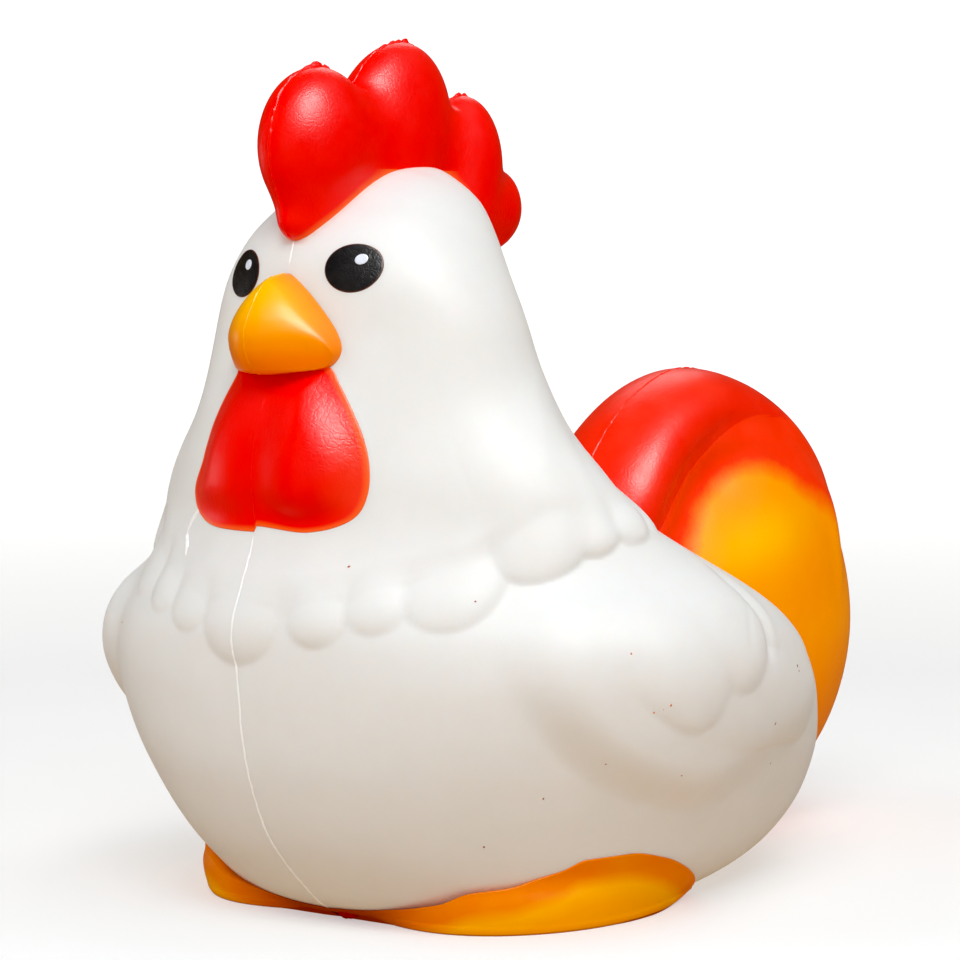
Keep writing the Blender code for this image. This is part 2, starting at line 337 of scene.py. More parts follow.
def capsule(u, z, line, radius, height, stretch, power=0.5, taper=1.0):
    """Height field of a fat line, rounded across and rising from its root to its tip."""
    line = np.asarray(line, float)
    out = np.zeros(u.shape)
    near = (u > line[:, 0].min() - radius - 1) & (u < line[:, 0].max() + radius + 1) & \
           (z > line[:, 1].min() - radius - 1) & (z < line[:, 1].max() + radius + 1)
    uu, zz = u[near], z[near]
    best = np.zeros(uu.shape)
    seg = np.concatenate([[0], np.cumsum(np.linalg.norm(np.diff(line, axis=0), axis=1))])
    for t in np.linspace(0, 1, 40):
        cu, cz = (np.interp(t * seg[-1], seg, line[:, k]) for k in (0, 1))
        q = ((uu - cu) ** 2 + ((zz - cz) * stretch) ** 2) / radius**2
        best = np.maximum(best, height * smooth(t, 0.0, taper) * np.clip(1 - q, 0, 1) ** power)
    out[near] = best
    return out


def scored(u, z, line, width):
    """1 on a line drawn in the skin, falling off beside it and fading at its ends."""
    line = np.asarray(line, float)
    out = np.zeros(u.shape)
    near = (u > line[:, 0].min() - 4) & (u < line[:, 0].max() + 4) & \
           (z > line[:, 1].min() - 4) & (z < line[:, 1].max() + 4)
    uu, zz = u[near], z[near]
    best = np.zeros(uu.shape)
    seg = np.concatenate([[0], np.cumsum(np.linalg.norm(np.diff(line, axis=0), axis=1))])
    for t in np.linspace(0, 1, 80):
        cu, cz = (np.interp(t * seg[-1], seg, line[:, k]) for k in (0, 1))
        best = np.maximum(best, smooth(min(t, 1 - t), 0, 0.25) * np.exp(-((uu - cu) ** 2 + (zz - cz) ** 2) / width**2))
    out[near] = best
    return out


def relief(th, z, x):
    """Height of everything that is sculpted into the skin, in mm."""
    u = along(th, z)
    w = np.abs(u)
    h = np.zeros(u.shape)
    for ul, zl, ur, zr, radius, run, lean, height, crisp in RUFF:
        for side, um, low in ((1, ul, zl), (-1, ur, zr)):
            if um is None:
                continue
            k = steepness(um, low + 4)
            zc = low + radius / k
            line = ((um + lean, zc + run), (um + lean * 0.35, zc + run * 0.45), (um, zc))
            across = np.abs(u) if ur is None else u * side
            tall = height * (0.84 if um < 36 else 1.0) * (0.62 if side < 0 and um > 5 else 1.0)
            h = over(h, capsule(across, z, line, radius, tall, k, crisp), 0.8)
    notch = np.where(u >= 0, np.interp(w, _ru[1], _notch[1]), np.interp(w, _ru[-1], _notch[-1]))
    rise = np.where(u >= 0, np.interp(w, _ru[1], _rise), np.interp(w, _ru[-1], _rise) * (1 - 0.3 * smooth(w, 5, 14)))
    skirt = 0.88 * rise * smooth(z, notch - 2.0, notch + 4.0) * (1 - smooth(z, notch + 5, notch + 24))
    ruff = over(h, skirt, 1.0)
    # the wing: a soft pad, with feather tips on it
    pad = np.full(u.shape, -9.0)
    near = (w > 30) & (w < 122) & (z < 68)
    pad[near] = inside_distance(w[near], z[near], WING)
    soft = 9.5 + 5.0 * smooth(z, 34, 52)
    edge = np.clip(pad / soft, 0, 1)
    wing = 2.9 * smooth(edge) * (1 - smooth(z, 39, 56)) * (1 - 0.72 * smooth(w, 58, 104))
    tips = np.zeros(u.shape)
    for line, radius, height in FEATHERS:
        um, low = line[-1]
        tips = over(tips, capsule(w, z, line, radius, height, steepness(um, low), 0.5), 0.3)
    h = over(ruff, wing + tips * smooth(pad, -2.0, 3.0), 0.9)
    # a sharp fold along the upper feather, with a swelling beside it, and two small creases
    for line, width, height in CREASES:
        h = h + height * scored(w, z, line, width)
    # the bib's swelling, low along the seam and fuller to each side
    near = (np.cos(th) > 0.2) & (np.abs(x) < 22) & (z > 50) & (z < 86)
    d = np.full(u.shape, -5.0)
    d[near] = inside_distance(x[near], z[near], BIB) - 0.7
    d = smax(d, 0.0 * d, 2.6)
    full = 1 - (1 - np.clip(d / 5.6, 0, 1)) ** 2.0
    crown = np.clip(1 - ((np.abs(x) - 4.6) / 10.6) ** 2 - ((z - 65.0) / 14.5) ** 2, 0, 1) ** 1.2
    bib = (1.3 + np.where(x > 0, 2.1 * smooth(x, 0.0, 6.8), 0.45 * smooth(-x, 0.0, 5.0)) * crown) * full
    return over(h, bib, 0.8)


def skin(th, z, lift=0.0):
    """Point of the finished skin, and its outward direction."""
    th, z = np.broadcast_arrays(np.asarray(th, float), np.asarray(z, float))
    p, n = plain(th, z), plain_normal(th, z)
    return p + n * (relief(th, z, p[..., 0]) + lift)[..., None], n


# ---------------------------------------------------------------- meshes
def to_world(points):
    p = np.array(points, float).reshape(-1, 3)
    p[:, 1] += Y_SHIFT
    return p * MM


def new_mesh(name, points, quads, tris=(), attributes=None):
    mesh = bpy.data.meshes.new(name)
    mesh.from_pydata([tuple(v) for v in to_world(points)], [], [tuple(map(int, q)) for q in quads] + [tuple(map(int, t)) for t in tris])
    mesh.validate()
    mesh.update()
    for key, values in (attributes or {}).items():
        mesh.attributes.new(key, "FLOAT", "POINT").data.foreach_set("value", np.asarray(values, np.float32))
    mesh.shade_smooth()
    obj = bpy.data.objects.new(name, mesh)
    bpy.context.scene.collection.objects.link(obj)
    return obj


def grid_quads(rows, columns, wrap=False, start=0):
    """Quads of a grid of points stored row by row."""
    r = np.arange(rows - 1)[:, None]
    c = np.arange(columns if wrap else columns - 1)[None, :]
    d = (c + 1) % columns
    a, b = start + r * columns + c, start + r * columns + d
    return np.stack([a, b, b + columns, a + columns], -1).reshape(-1, 4)


def net(f, low, high, cell):
    """Closed quad mesh of the surface f = 0, with f negative inside."""
    low, high = np.asarray(low, float), np.asarray(high, float)
    n = np.ceil((high - low) / cell).astype(int) + 1
    axes = [low[k] + np.arange(n[k]) * cell for k in range(3)]
    grid = np.empty(n)
    for i in range(0, n[0], 24):
        X, Y, Z = np.meshgrid(axes[0][i:i + 24], axes[1], axes[2], indexing="ij")
        grid[i:i + 24] = f(np.stack([X, Y, Z], -1))
    inside = grid < 0
    index = -np.ones(n - 1, int)
    cs = [inside[i:n[0] - 1 + i, j:n[1] - 1 + j, k:n[2] - 1 + k] for i in (0, 1) for j in (0, 1) for k in (0, 1)]
    total = sum(c.astype(int) for c in cs)
    mixed = (total > 0) & (total < 8)
    cells = np.argwhere(mixed)
    index[mixed] = np.arange(len(cells))
    place, count = np.zeros((len(cells), 3)), np.zeros(len(cells))
    i0, j0, k0 = cells.T
    for axis in range(3):
        others = [k for k in range(3) if k != axis]
        for da in (0, 1):
            for db in (0, 1):
                o = [0, 0, 0]
                o[others[0]], o[others[1]] = da, db
                e = list(o)
                e[axis] += 1
                va = grid[i0 + o[0], j0 + o[1], k0 + o[2]]
                vb = grid[i0 + e[0], j0 + e[1], k0 + e[2]]
                cut = (va < 0) != (vb < 0)
                t = np.where(cut, va / np.where(cut, va - vb, 1), 0)
                p = np.stack([i0 + o[0], j0 + o[1], k0 + o[2]], 1).astype(float)
                p[:, axis] += t
                place[cut] += p[cut]
                count += cut
    points = low + place / count[:, None] * cell
    quads = []
    for axis in range(3):
        a, b = [k for k in range(3) if k != axis]
        sl0, sl1 = [slice(None)] * 3, [slice(None)] * 3
        sl0[axis], sl1[axis] = slice(0, -1), slice(1, None)
        lo_in, hi_in = inside[tuple(sl0)], inside[tuple(sl1)]
        edge = lo_in != hi_in
        for k in (a, b):
            s = [slice(None)] * 3
            s[k] = slice(0, 1)
            edge[tuple(s)] = False
            s[k] = slice(-1, None)
            edge[tuple(s)] = False
        e = np.argwhere(edge)
        flip = hi_in[tuple(e.T)]
        ring = []
        for da, db in ((0, 0), (1, 0), (1, 1), (0, 1)):
            c = e.copy()
            c[:, a] -= da
            c[:, b] -= db
            ring.append(index[tuple(c.T)])
        q = np.stack(ring, 1)
        if axis == 1:
            flip = ~flip
        q[flip] = q[flip][:, ::-1]
        quads.append(q)
    quads = np.concatenate(quads)
    for _ in range(4):
        e = cell * 0.05
        v = f(points)
        g = np.stack([(f(points + np.eye(3)[k] * e) - f(points - np.eye(3)[k] * e)) / (2 * e) for k in range(3)], -1)
        step = -(v / np.maximum((g * g).sum(1), 1e-6))[:, None] * g
        length = np.linalg.norm(step, axis=1, keepdims=True)
        points = points + step * np.minimum(1, 0.5 * cell / np.maximum(length, 1e-9))
    return points, quads


def egg(p, centre, half, lean=0.0):
    """Nearly true distance to an egg; a positive lean turns its top towards the front."""
    c, s = math.cos(math.radians(lean)), math.sin(math.radians(lean))
    q = p - np.asarray(centre, float)
    y, z = q[..., 1] * c + q[..., 2] * s, -q[..., 1] * s + q[..., 2] * c
    r = np.asarray(half, float)
    a = np.sqrt((q[..., 0] / r[0]) ** 2 + (y / r[1]) ** 2 + (z / r[2]) ** 2)
    b = np.sqrt((q[..., 0] / r[0] ** 2) ** 2 + (y / r[1] ** 2) ** 2 + (z / r[2] ** 2) ** 2)
    return a * (a - 1) / np.maximum(b, 1e-6)


# ---------------------------------------------------------------- foam body
def body_levels():
    z = np.linspace(0, TOP, 4000)
    a, f, b = half_width(z), front_y(z), back_y(z)
    slope = np.maximum(np.abs(np.gradient(a, z)), 0.5 * (np.abs(np.gradient(f, z)) + np.abs(np.gradient(b, z))))
    ds = np.sqrt(1 + np.minimum(slope, 12) ** 2)
    fine = 0.45 + 0.3 * (1 - smooth(z, 10, 14)) + 0.55 * smooth(z, 10, 16) * (1 - smooth(z, 60, 80)) + 0.12 * (1 - smooth(z, 80, 100))
    s = np.concatenate([[0], np.cumsum((ds * fine)[:-1] * np.diff(z))])
    rows = 214
    levels = np.interp(np.linspace(0, s[-1], rows), s, z)
    return levels


def body_turns():
    spacing_at = lambda w: 0.66 if w < 68 else (0.85 if w < 108 else 1.35)
    u, half = [0.0], float(_TU[160][-1])
    while u[-1] < half - 0.7:
        u.append(u[-1] + spacing_at(u[-1]))
    u = np.array(u) * half / u[-1]
    th = turn_at(u, 40.0)
    th[-1] = math.pi
    return np.concatenate([th, -th[-2:0:-1]])


levels, turns = body_levels(), body_turns()
T, Z = np.meshgrid(turns, levels[:-1])
P, _ = skin(T, Z)
rows, columns = P.shape[:2]
points = list(P.reshape(-1, 3))
quads = [grid_quads(rows, columns, wrap=True)]
cap = np.concatenate([P[0] * np.array([k, k, 1]) + np.array([0, (1 - k) * 2.0, 0]) for k in (0.75, 0.45, 0.2)])
start = len(points)
points = np.concatenate([np.array(points), cap, [[0, 2.0, 0]], [[0, -20.5, TOP]]])
first = np.arange(columns)
rings = [first, start + first, start + columns + first, start + 2 * columns + first]
for a, b in zip(rings, rings[1:]):
    n = np.roll(np.arange(columns), -1)
    quads.append(np.stack([a, b, b[n], a[n]], 1))
n = np.roll(np.arange(columns), -1)
bottom, apex = len(points) - 2, len(points) - 1
tris = np.concatenate([
    np.stack([rings[-1], np.full(columns, bottom), rings[-1][n]], 1),
    np.stack([(rows - 1) * columns + first, (rows - 1) * columns + first[n], np.full(columns, apex)], 1)])
foam = new_mesh("foam_body_skin", points, np.concatenate(quads), tris)
print("foam body", len(points), "points", rows, columns)


# ---------------------------------------------------------------- painted patches on the skin
def patch(name, outline, centre, lift, rings=44, sink=1.6, front=True, attribute=None):
    """A closed patch over the skin inside an (x, z) outline, standing proud by lift."""
    loop = np.asarray(outline, float)
    ahead = np.roll(loop, -1, axis=0)
    if np.sum(loop[:, 0] * ahead[:, 1] - ahead[:, 0] * loop[:, 1]) < 0:
        loop = loop[::-1]
    count = len(loop)
    c = np.asarray(centre, float)
    shares = 1 - (1 - np.linspace(0, 1, rings)[1:]) ** 1.25
    shares = shares / shares[-1]
    edge = np.linalg.norm(loop - c, axis=1)
    q = c + (loop - c)[None] * shares[:, None, None]
    p, n = skin(turn_from_x(q[..., 0], q[..., 1]), q[..., 1])
    d = (1 - shares)[:, None] * edge[None]
    fall = np.clip(d / 0.25, 0, 1)
    pts = list(p + n * (lift * np.sqrt(fall * (2 - fall)))[..., None])
    rim = list(d)
    th = turn_from_x(c[0], c[1])
    p, n = skin(np.array([th]), np.array([c[1]]))
    p, n = p[0], n[0]
    th_e = turn_from_x(loop[:, 0], loop[:, 1])
    pe, ne = skin(th_e, loop[:, 1])
    under = pe - ne * sink
    pts.append(under)
    rim.append(np.zeros(count))
    points = np.concatenate([np.concatenate(pts), [p + n * lift], [p - n * sink]])
    rim = np.concatenate([np.concatenate(rim), [edge.mean(), 0]])
    rows = len(shares) + 1
    quads = grid_quads(rows, count, wrap=True)
    i = np.arange(count)
    j = np.roll(i, -1)
    top, low = rows * count, rows * count + 1
    tris = np.concatenate([np.stack([i, j, np.full(count, top)], 1),
                           np.stack([(rows - 1) * count + j, (rows - 1) * count + i, np.full(count, low)], 1)])
    return new_mesh(name, points, quads[:, ::-1], tris, {"rim": rim})


wattle = patch("wattle_bib", BIB, (0.0, 66.0), 0.12, 60)

# ---------------------------------------------------------------- eyes: printed ovals with a glint left in them
EYE = (9.65, 92.15)
EYE_TURN = 32.0


def oval(centre, half, lean, count=96, side=1):
    """Outline of an oval on the head as x, z, from its size across the skin."""
    t = np.linspace(0, TAU, count, endpoint=False)
    a, b = half[0] * np.cos(t), half[1] * np.sin(t)
    l = math.radians(lean)
    across, up = a * math.cos(l) - b * math.sin(l), a * math.sin(l) + b * math.cos(l)
    squeeze = math.cos(math.radians(EYE_TURN))
    return np.stack([side * (centre[0] + across * squeeze), centre[1] + up], 1)


def eye(name, side):
    drop = 0.0 if side > 0 else -0.5
    rise = 0.3 if side > 0 else 0.0
    black = oval((EYE[0], EYE[1] + drop + rise), (4.45, 3.35), -4.0, 120, side)
    glint = oval((EYE[0] + 0.95 * side * 1.0, EYE[1] + drop + rise + 1.2), (1.0, 0.78), 0.0, 48, side)
    a = patch(name, black, (side * EYE[0], EYE[1] + drop + rise), 0.1, 26, 0.8)
    g = patch(name.replace("eye", "eye_glint"), glint, tuple(glint.mean(0)), 0.16, 12, 0.3)
    return a, g


eye_left, glint_left = eye("eye_left_print", 1)
eye_right, glint_right = eye("eye_right_print", -1)

# ---------------------------------------------------------------- beak: rounded wedge with a flat underside
BEAK_HALF = ((0.0, 91.7), (1.5, 91.0), (4.0, 88.9), (6.6, 86.0), (8.5, 83.4), (9.3, 81.4), (8.9, 79.7),
             (7.4, 78.6), (4.0, 78.0), (0.0, 77.6))
BEAK = closed_spline(list(BEAK_HALF) + [(-x, z) for x, z in BEAK_HALF[-2:0:-1]], 220)
BEAK_PEAK = (0.0, 84.0)
beak_ridge = through((77.6, 77.8, 78.2, 79.0, 80.2, 81.6, 83.2, 85.2, 87.0, 89.2, 90.8, 91.6, 92.0),
                     (-47.2, -49.8, -51.1, -52.1, -52.9, -53.4, -53.6, -53.2, -52.3, -50.6, -49.1, -47.8, -45.6))

def beak_face(q):
    """Point of the beak over (x, z): two flat flanks falling back from a rounded ridge, with a full edge."""
    th = turn_from_x(q[..., 0], q[..., 1])
    p, n = plain(th, q[..., 1]), plain_normal(th, q[..., 1])
    ridge = -beak_ridge(q[..., 1]) - 1.35 * (np.sqrt(q[..., 0] ** 2 + 5.0**2) - 5.0)
    rise = np.maximum(ridge + p[..., 1], 0)
    d = np.maximum(inside_distance(q[..., 0], q[..., 1], BEAK), 0)
    edge = (4.2 * np.sqrt(d) + 1.2 * d) * (1 + 1.3 * (1 - smooth(q[..., 1], 78.6, 82.0)))
    return p, n, th, np.maximum(smin(rise, edge, 6.0 * (1 - np.exp(-d / 2.4)) + 1e-3), 0)


def beak_mesh():
    loop = BEAK[::-1]
    count = len(loop)
    c = np.asarray(BEAK_PEAK)
    rings = 60
    shares = np.sin(np.linspace(0, 1, rings)[1:] * math.pi / 2)
    edge = np.linalg.norm(loop - c, axis=1)
    k = shares[:, None]
    q = c + (loop - c)[None] * k[..., None]
    p, n, th, rise = beak_face(q)
    h = relief(th, q[..., 1], p[..., 0])
    pts = list(p + np.array([0.0, -1.0, 0.0]) * rise[..., None] + n * ((h + 0.1) * k**8)[..., None])
    rim = list((1 - k) * edge)
    p, n, th, rise = beak_face(c)
    peak = p + np.array([0.0, -1.0, 0.0]) * rise
    pe, ne = skin(turn_from_x(loop[:, 0], loop[:, 1]), loop[:, 1])
    pts.append(pe - ne * 2.5)
    rim.append(np.zeros(count))
    points = np.concatenate([np.concatenate(pts), [peak], [p - n * 2.5]])
    rim = np.concatenate([np.concatenate(rim), [edge.mean(), 0]])
    rows = rings
    quads = grid_quads(rows, count, wrap=True)
    i = np.arange(count)
    j = np.roll(i, -1)
    top, low = rows * count, rows * count + 1
    tris = np.concatenate([np.stack([i, j, np.full(count, top)], 1),
                           np.stack([(rows - 1) * count + j, (rows - 1) * count + i, np.full(count, low)], 1)])
    lines = [np.array([pts[r][j] for r in range(len(shares))]) for j in (int(np.argmax(loop[:, 1])), int(np.argmin(loop[:, 1] + 9 * np.abs(loop[:, 0]))))]
    seam = np.concatenate([lines[0][::-1], lines[1]])
    return new_mesh("beak_skin", points, quads[:, ::-1], tris, {"rim": rim}), seam


beak, beak_seam = beak_mesh()

# ---------------------------------------------------------------- comb
COMB = (
    # y, z, half length, half thickness, half height, lean
    (-37.8, 109.5, 10.2, 6.5, 10.9, -7.6),
    (-21.9, 109.4, 11.8, 6.2, 16.0, -26.4),
    (-6.0, 105.4, 7.8, 6.3, 12.3, -11.4),
    (1.3, 101.0, 5.4, 4.7, 6.6, -38.0),
    (-19.5, 99.2, 25.6, 5.8, 5.9, 1.3),
)


def comb_shape(p):
    f = None
    for k, (y, z, length, thick, tall, lean) in enumerate(COMB):
        e = egg(p, (0.0, y, z), (thick, length, tall), lean)
        soft = 1.6 + (1.2 if k == 3 else 2.6) * smooth(np.abs(p[..., 0]), 0.8, 4.2)
        f = e if f is None else smin(f, e, soft if k < 4 else 3.6)
    return f


def trimmed(f, p, depth, k):
    """Ends a shape a little way inside the body; the body is only measured near the shape."""
    near = f < 2.5
    out = f.copy()
    out[near] = smax(f[near], -(depth_of(p[near]) + depth), k)
    return out


def comb_closed(p):
    return trimmed(comb_shape(p), p, 3.0, 0.8)


cp, cq = net(comb_closed, (-11, -51, 88), (11, 15, 128), 0.42)
comb = new_mesh("comb_skin", cp, cq, (), {"rim": np.where(cp[:, 2] > 106.5, 10.0, np.clip(depth_of(cp), 0, 10))})

# ---------------------------------------------------------------- tail: a red crest curling over an orange plume
TAIL_MIDDLE = (58.0, 36.0)
CREST = np.array((
    # angle round the middle, radius of the centre line, half thickness, half depth
    (166.0, 30.6, 5.6, 5.0), (158.0, 31.3, 9.2, 6.5), (140.0, 32.4, 10.8, 7.0), (120.0, 32.8, 10.4, 7.0),
    (100.0, 33.1, 10.2, 7.0), (80.0, 31.6, 10.8, 7.0), (60.0, 29.8, 12.0, 6.8), (40.0, 28.7, 11.7, 6.4),
    (22.0, 26.1, 10.9, 5.6), (6.0, 23.9, 8.7, 4.5), (-6.0, 21.0, 3.8, 3.0)))
_order = np.argsort(CREST[:, 0])
crest_radius, crest_wide, crest_deep = (through(CREST[_order, 0], CREST[_order, k]) for k in (1, 2, 3))


def crest_shape(p):
    y, z = p[..., 1] - TAIL_MIDDLE[0], p[..., 2] - TAIL_MIDDLE[1]
    angle = np.degrees(np.arctan2(z, y))
    angle = np.where(angle < -100, angle + 360, angle)
    a = np.clip(angle, -5.9, 165.9)
    over = np.radians(np.abs(angle - a))
    r = np.sqrt(y * y + z * z)
    R, wide, deep = crest_radius(a), crest_wide(a), crest_deep(a)
    out = np.sqrt(((r - R) / deep) ** 2 + (p[..., 0] / wide) ** 2 + (over * R / 3.0) ** 2)
    return (out - 1) * np.minimum(deep, wide) * 0.9


PLUME_MIDDLE, PLUME_HALF = (62.0, 32.0), 18.0
plume_radius = through((-90, -60, -30, 0, 30, 60, 90, 120, 150, 180, 200),
                       (29.6, 30.0, 31.0, 32.4, 33.0, 36.3, 36.2, 32.6, 34.1, 36.0, 35.8))


def plume_shape(p):
    """Thick disc with rounded edges."""
    y, z = p[..., 1] - PLUME_MIDDLE[0], p[..., 2] - PLUME_MIDDLE[1]
    angle = np.degrees(np.arctan2(z, y))
    angle = np.where(angle < -120, angle + 360, angle)
    R, r = plume_radius(angle), np.sqrt(y * y + z * z)
    return (((r / R) ** 2.25 + np.abs(p[..., 0] / PLUME_HALF) ** 2.25) ** (1 / 2.25) - 1) * PLUME_HALF * 0.9


def tail_skin(p):
    """The two swellings run into each other in a soft valley; along the rim they just meet."""
    a, b = crest_shape(p), plume_shape(p)
    y, z = p[..., 1] - TAIL_MIDDLE[0], p[..., 2] - TAIL_MIDDLE[1]
    angle = np.degrees(np.arctan2(z, y))
    inward = crest_radius(np.clip(np.where(angle < -100, angle + 360, angle), -5.9, 165.9)) - np.sqrt(y * y + z * z)
    return smin(a, b, 0.5 + 5.2 * smooth(inward, -2.5, 5.0)), a, b


def crest_closed(p):
    f, a, b = tail_skin(p)
    thin = 0.35 * (1 - smooth(b - a, 1.0, 2.0))
    return trimmed(smax(f + thin, a - b, 0.15), p, 5.0, 1.0)


def plume_closed(p):
    f, a, b = tail_skin(p)
    under = 0.35 * smooth(b - a, 2.0, 3.0)
    return smax(trimmed(smax(f + under, b - a - 3.5, 0.4), p, 5.0, 1.0), 0.4 - p[..., 2], 0.5)


tp, tq = net(crest_closed, (-15, 12, 22), (15, 98, 80), 0.5)
crest = new_mesh("tail_plume_red_skin", tp, tq, (), {"rim": np.clip(depth_of(tp), 0, 10)})
op, oq = net(plume_closed, (-20, 14, -1), (20, 99, 76), 0.62)
plume = new_mesh("tail_plume_orange_skin", op, oq, (), {"rim": np.clip(crest_shape(op), 0, 30)})

# ---------------------------------------------------------------- feet: pads that spread round the base
FOOT = ((16.7, -9.5, 4.4), (19.4, 26.4, 7.2), 0.0)
# upper border of the paint: round-the-body angle in degrees, height
FOOT_BORDER = through((-1.0, 0.0, 11.0, 33.5, 40.0, 50.0, 55.0, 61.0, 65.6, 76.5, 87.3, 98.9, 106.0, 112.0, 117.0, 126.0),
                      (1.6, 1.7, 2.1, 4.4, 6.1, 7.0, 8.0, 9.1, 10.4, 10.5, 9.1, 6.5, 4.5, 2.5, 1.0, 0.4))


def foot_mesh(name, side):
    columns_, rows_ = 260, 44
    angles = np.radians(np.linspace(0.0, 117.5, columns_))
    t = np.linspace(0, 1, rows_)
    A, K = np.meshgrid(angles, t)
    top = FOOT_BORDER(np.degrees(A))
    z = top * (1 - K) + 0.02 * K
    cx, cy = 0.0, -6.0
    dx, dy = np.sin(A), -np.cos(A)
    near, far = np.full(A.shape, 15.0), np.full(A.shape, 75.0)

    def shape(r):
        p = np.stack([cx + dx * r, cy + dy * r, z], -1)
        body = depth_of(p) - 0.2 - 0.2 * smooth(np.degrees(A), 96, 112)
        low = np.stack([p[..., 0], p[..., 1], np.where(z < 4.2, 4.2 - (4.2 - z) * 0.5, z)], -1)
        pad = egg(low, *FOOT)
        return smin(body, pad, 2.6)

    for _ in range(26):
        mid = (near + far) / 2
        v = shape(mid) < 0
        near, far = np.where(v, mid, near), np.where(v, far, mid)
    r = (near + far) / 2
    r[0] -= 0.12
    outer = np.stack([side * (cx + dx * r), cy + dy * r, z], -1)
    inner_r = np.maximum(r[0] - 3.0, 6.0)
    inner_top = np.stack([side * (cx + dx[0] * inner_r), cy + dy[0] * inner_r, np.maximum(top[0] - 0.6, 0.05)], -1)
    inner_low = inner_top.copy()
    inner_low[:, 2] = 0.02
    rings = np.concatenate([outer, inner_low[None], inner_top[None]])
    rows_all = rings.shape[0]
    points = rings.reshape(-1, 3)
    q = grid_quads(rows_all, columns_)
    last = (rows_all - 1) * columns_ + np.arange(columns_ - 1)
    q = np.concatenate([q, np.stack([last, last + 1, np.arange(columns_ - 1) + 1, np.arange(columns_ - 1)], 1)])
    caps = []
    for c in (0, columns_ - 1):
        loop = [k * columns_ + c for k in range(rows_all)]
        caps.append(loop if c == 0 else loop[::-1])
    rim = np.concatenate([(top * K).reshape(-1), np.zeros(2 * columns_)])
    if side > 0:
        q = q[:, ::-1]
        caps = [c[::-1] for c in caps]
    obj = new_mesh(name, points, q, caps, {"rim": rim})
    return obj


foot_left, foot_right = foot_mesh("foot_left_pad", 1), foot_mesh("foot_right_pad", -1)


# ---------------------------------------------------------------- flash left where the mould halves met
def flash(name, line, width=0.5, height=0.3, seed=0, stitch=0.0, wander=0.12, out=None, step=0.22, beads=()):
    """Thin ragged ridge along a line on the seam plane. stitch breaks it into dashes."""
    line = np.asarray(line, float)
    s = np.concatenate([[0], np.cumsum(np.linalg.norm(np.diff(line, axis=0), axis=1))])
    n = max(int(s[-1] / step), 4)
    q = np.linspace(0, s[-1], n)
    p = np.stack([np.interp(q, s, line[:, k]) for k in range(3)], 1)
    soft = np.pad(p, ((3, 3), (0, 0)), mode="edge")
    p = sum(soft[k:k + n] for k in range(7)) / 7
    p[0], p[-1] = line[0], line[-1]
    t = np.gradient(p, axis=0)
    t /= np.maximum(np.linalg.norm(t, axis=1, keepdims=True), 1e-9)
    if out is None:
        across = np.tile([1.0, 0.0, 0.0], (n, 1))
        up = np.cross(t, across)
        up /= np.maximum(np.linalg.norm(up, axis=1, keepdims=True), 1e-9)
        if np.sum(up * (p - np.array([0, 10.0, 60.0]))) < 0:
            up = -up
    else:
        up = np.stack([np.interp(q, s, np.asarray(out)[:, k]) for k in range(3)], 1)
        up /= np.linalg.norm(up, axis=1, keepdims=True)
        across = np.cross(up, t)
    ragged = 0.62 + 0.38 * hash_noise(q / 0.55, seed) * (0.5 + 0.5 * hash_noise(q / 3.1, seed + 5))
    ragged += 0.22 * hash_noise(q / 4.5, seed + 1)
    dash = 1 - stitch * smooth(hash_noise(q / 0.8, seed + 2) + 0.25 * hash_noise(q / 2.7, seed + 3), -0.1, 0.35)
    tall = height * np.clip(ragged, 0.12, 1.15) * dash
    wide = 0.5 * width * (0.72 + 0.28 * np.clip(dash, 0.2, 1)) * (0.9 + 0.18 * hash_noise(q / 0.9, seed + 6))
    for y, z, reach_ in beads:
        # blobs of foam that squeezed out of the mould
        here = np.exp(-(((p[:, 1] - y) ** 2 + (p[:, 2] - z) ** 2) / reach_**2) ** 2)
        tall += height * here * (0.75 + 0.65 * hash_noise(q / 0.62, seed + 8))
        wide *= 1 + here * (0.5 + 0.3 * hash_noise(q / 0.62, seed + 8))
    ends = np.clip(np.minimum(q, s[-1] - q) / 0.8, 0.05, 1)
    shift = wander * (hash_noise(q / 5.0, seed + 4) + 0.5 * hash_noise(q / 1.3, seed + 7))
    rows = []
    for a, h in ((-1.0, -0.22), (-0.72, 0.2), (-0.36, 0.8), (0.0, 1.0), (0.36, 0.85), (0.72, 0.2), (1.0, -0.22), (0.0, -0.9)):
        lift = np.where(h > 0, tall * h, height * h) * ends
        rows.append(p + across * (a * wide * ends + shift)[:, None] + up * lift[:, None])
    grid = np.stack(rows, 1)
    m = grid.shape[1]
    quads = grid_quads(n, m, wrap=True)
    caps = [tuple(range(m - 1, -1, -1)), tuple(range((n - 1) * m, n * m))]
    a, b, c = grid[0, 3], grid[0, 4], grid[1, 3]
    if np.dot(np.cross(b - a, c - a), up[0]) < 0:
        quads, caps = quads[:, ::-1], [k[::-1] for k in caps]
    fins = new_mesh(name, grid.reshape(-1, 3), quads, [k for k in caps], {"rim": np.full(n * m, 5.0)})
    return fins


def on_skin(u, z, lift=0.0):
    """Points and outward directions on the skin from distance round the body and height."""
    u, z = np.atleast_1d(np.asarray(u, float)), np.atleast_1d(np.asarray(z, float))
    th = np.array([float(turn_at(a, b)) for a, b in zip(u, z)])
    return skin(th, z, lift)


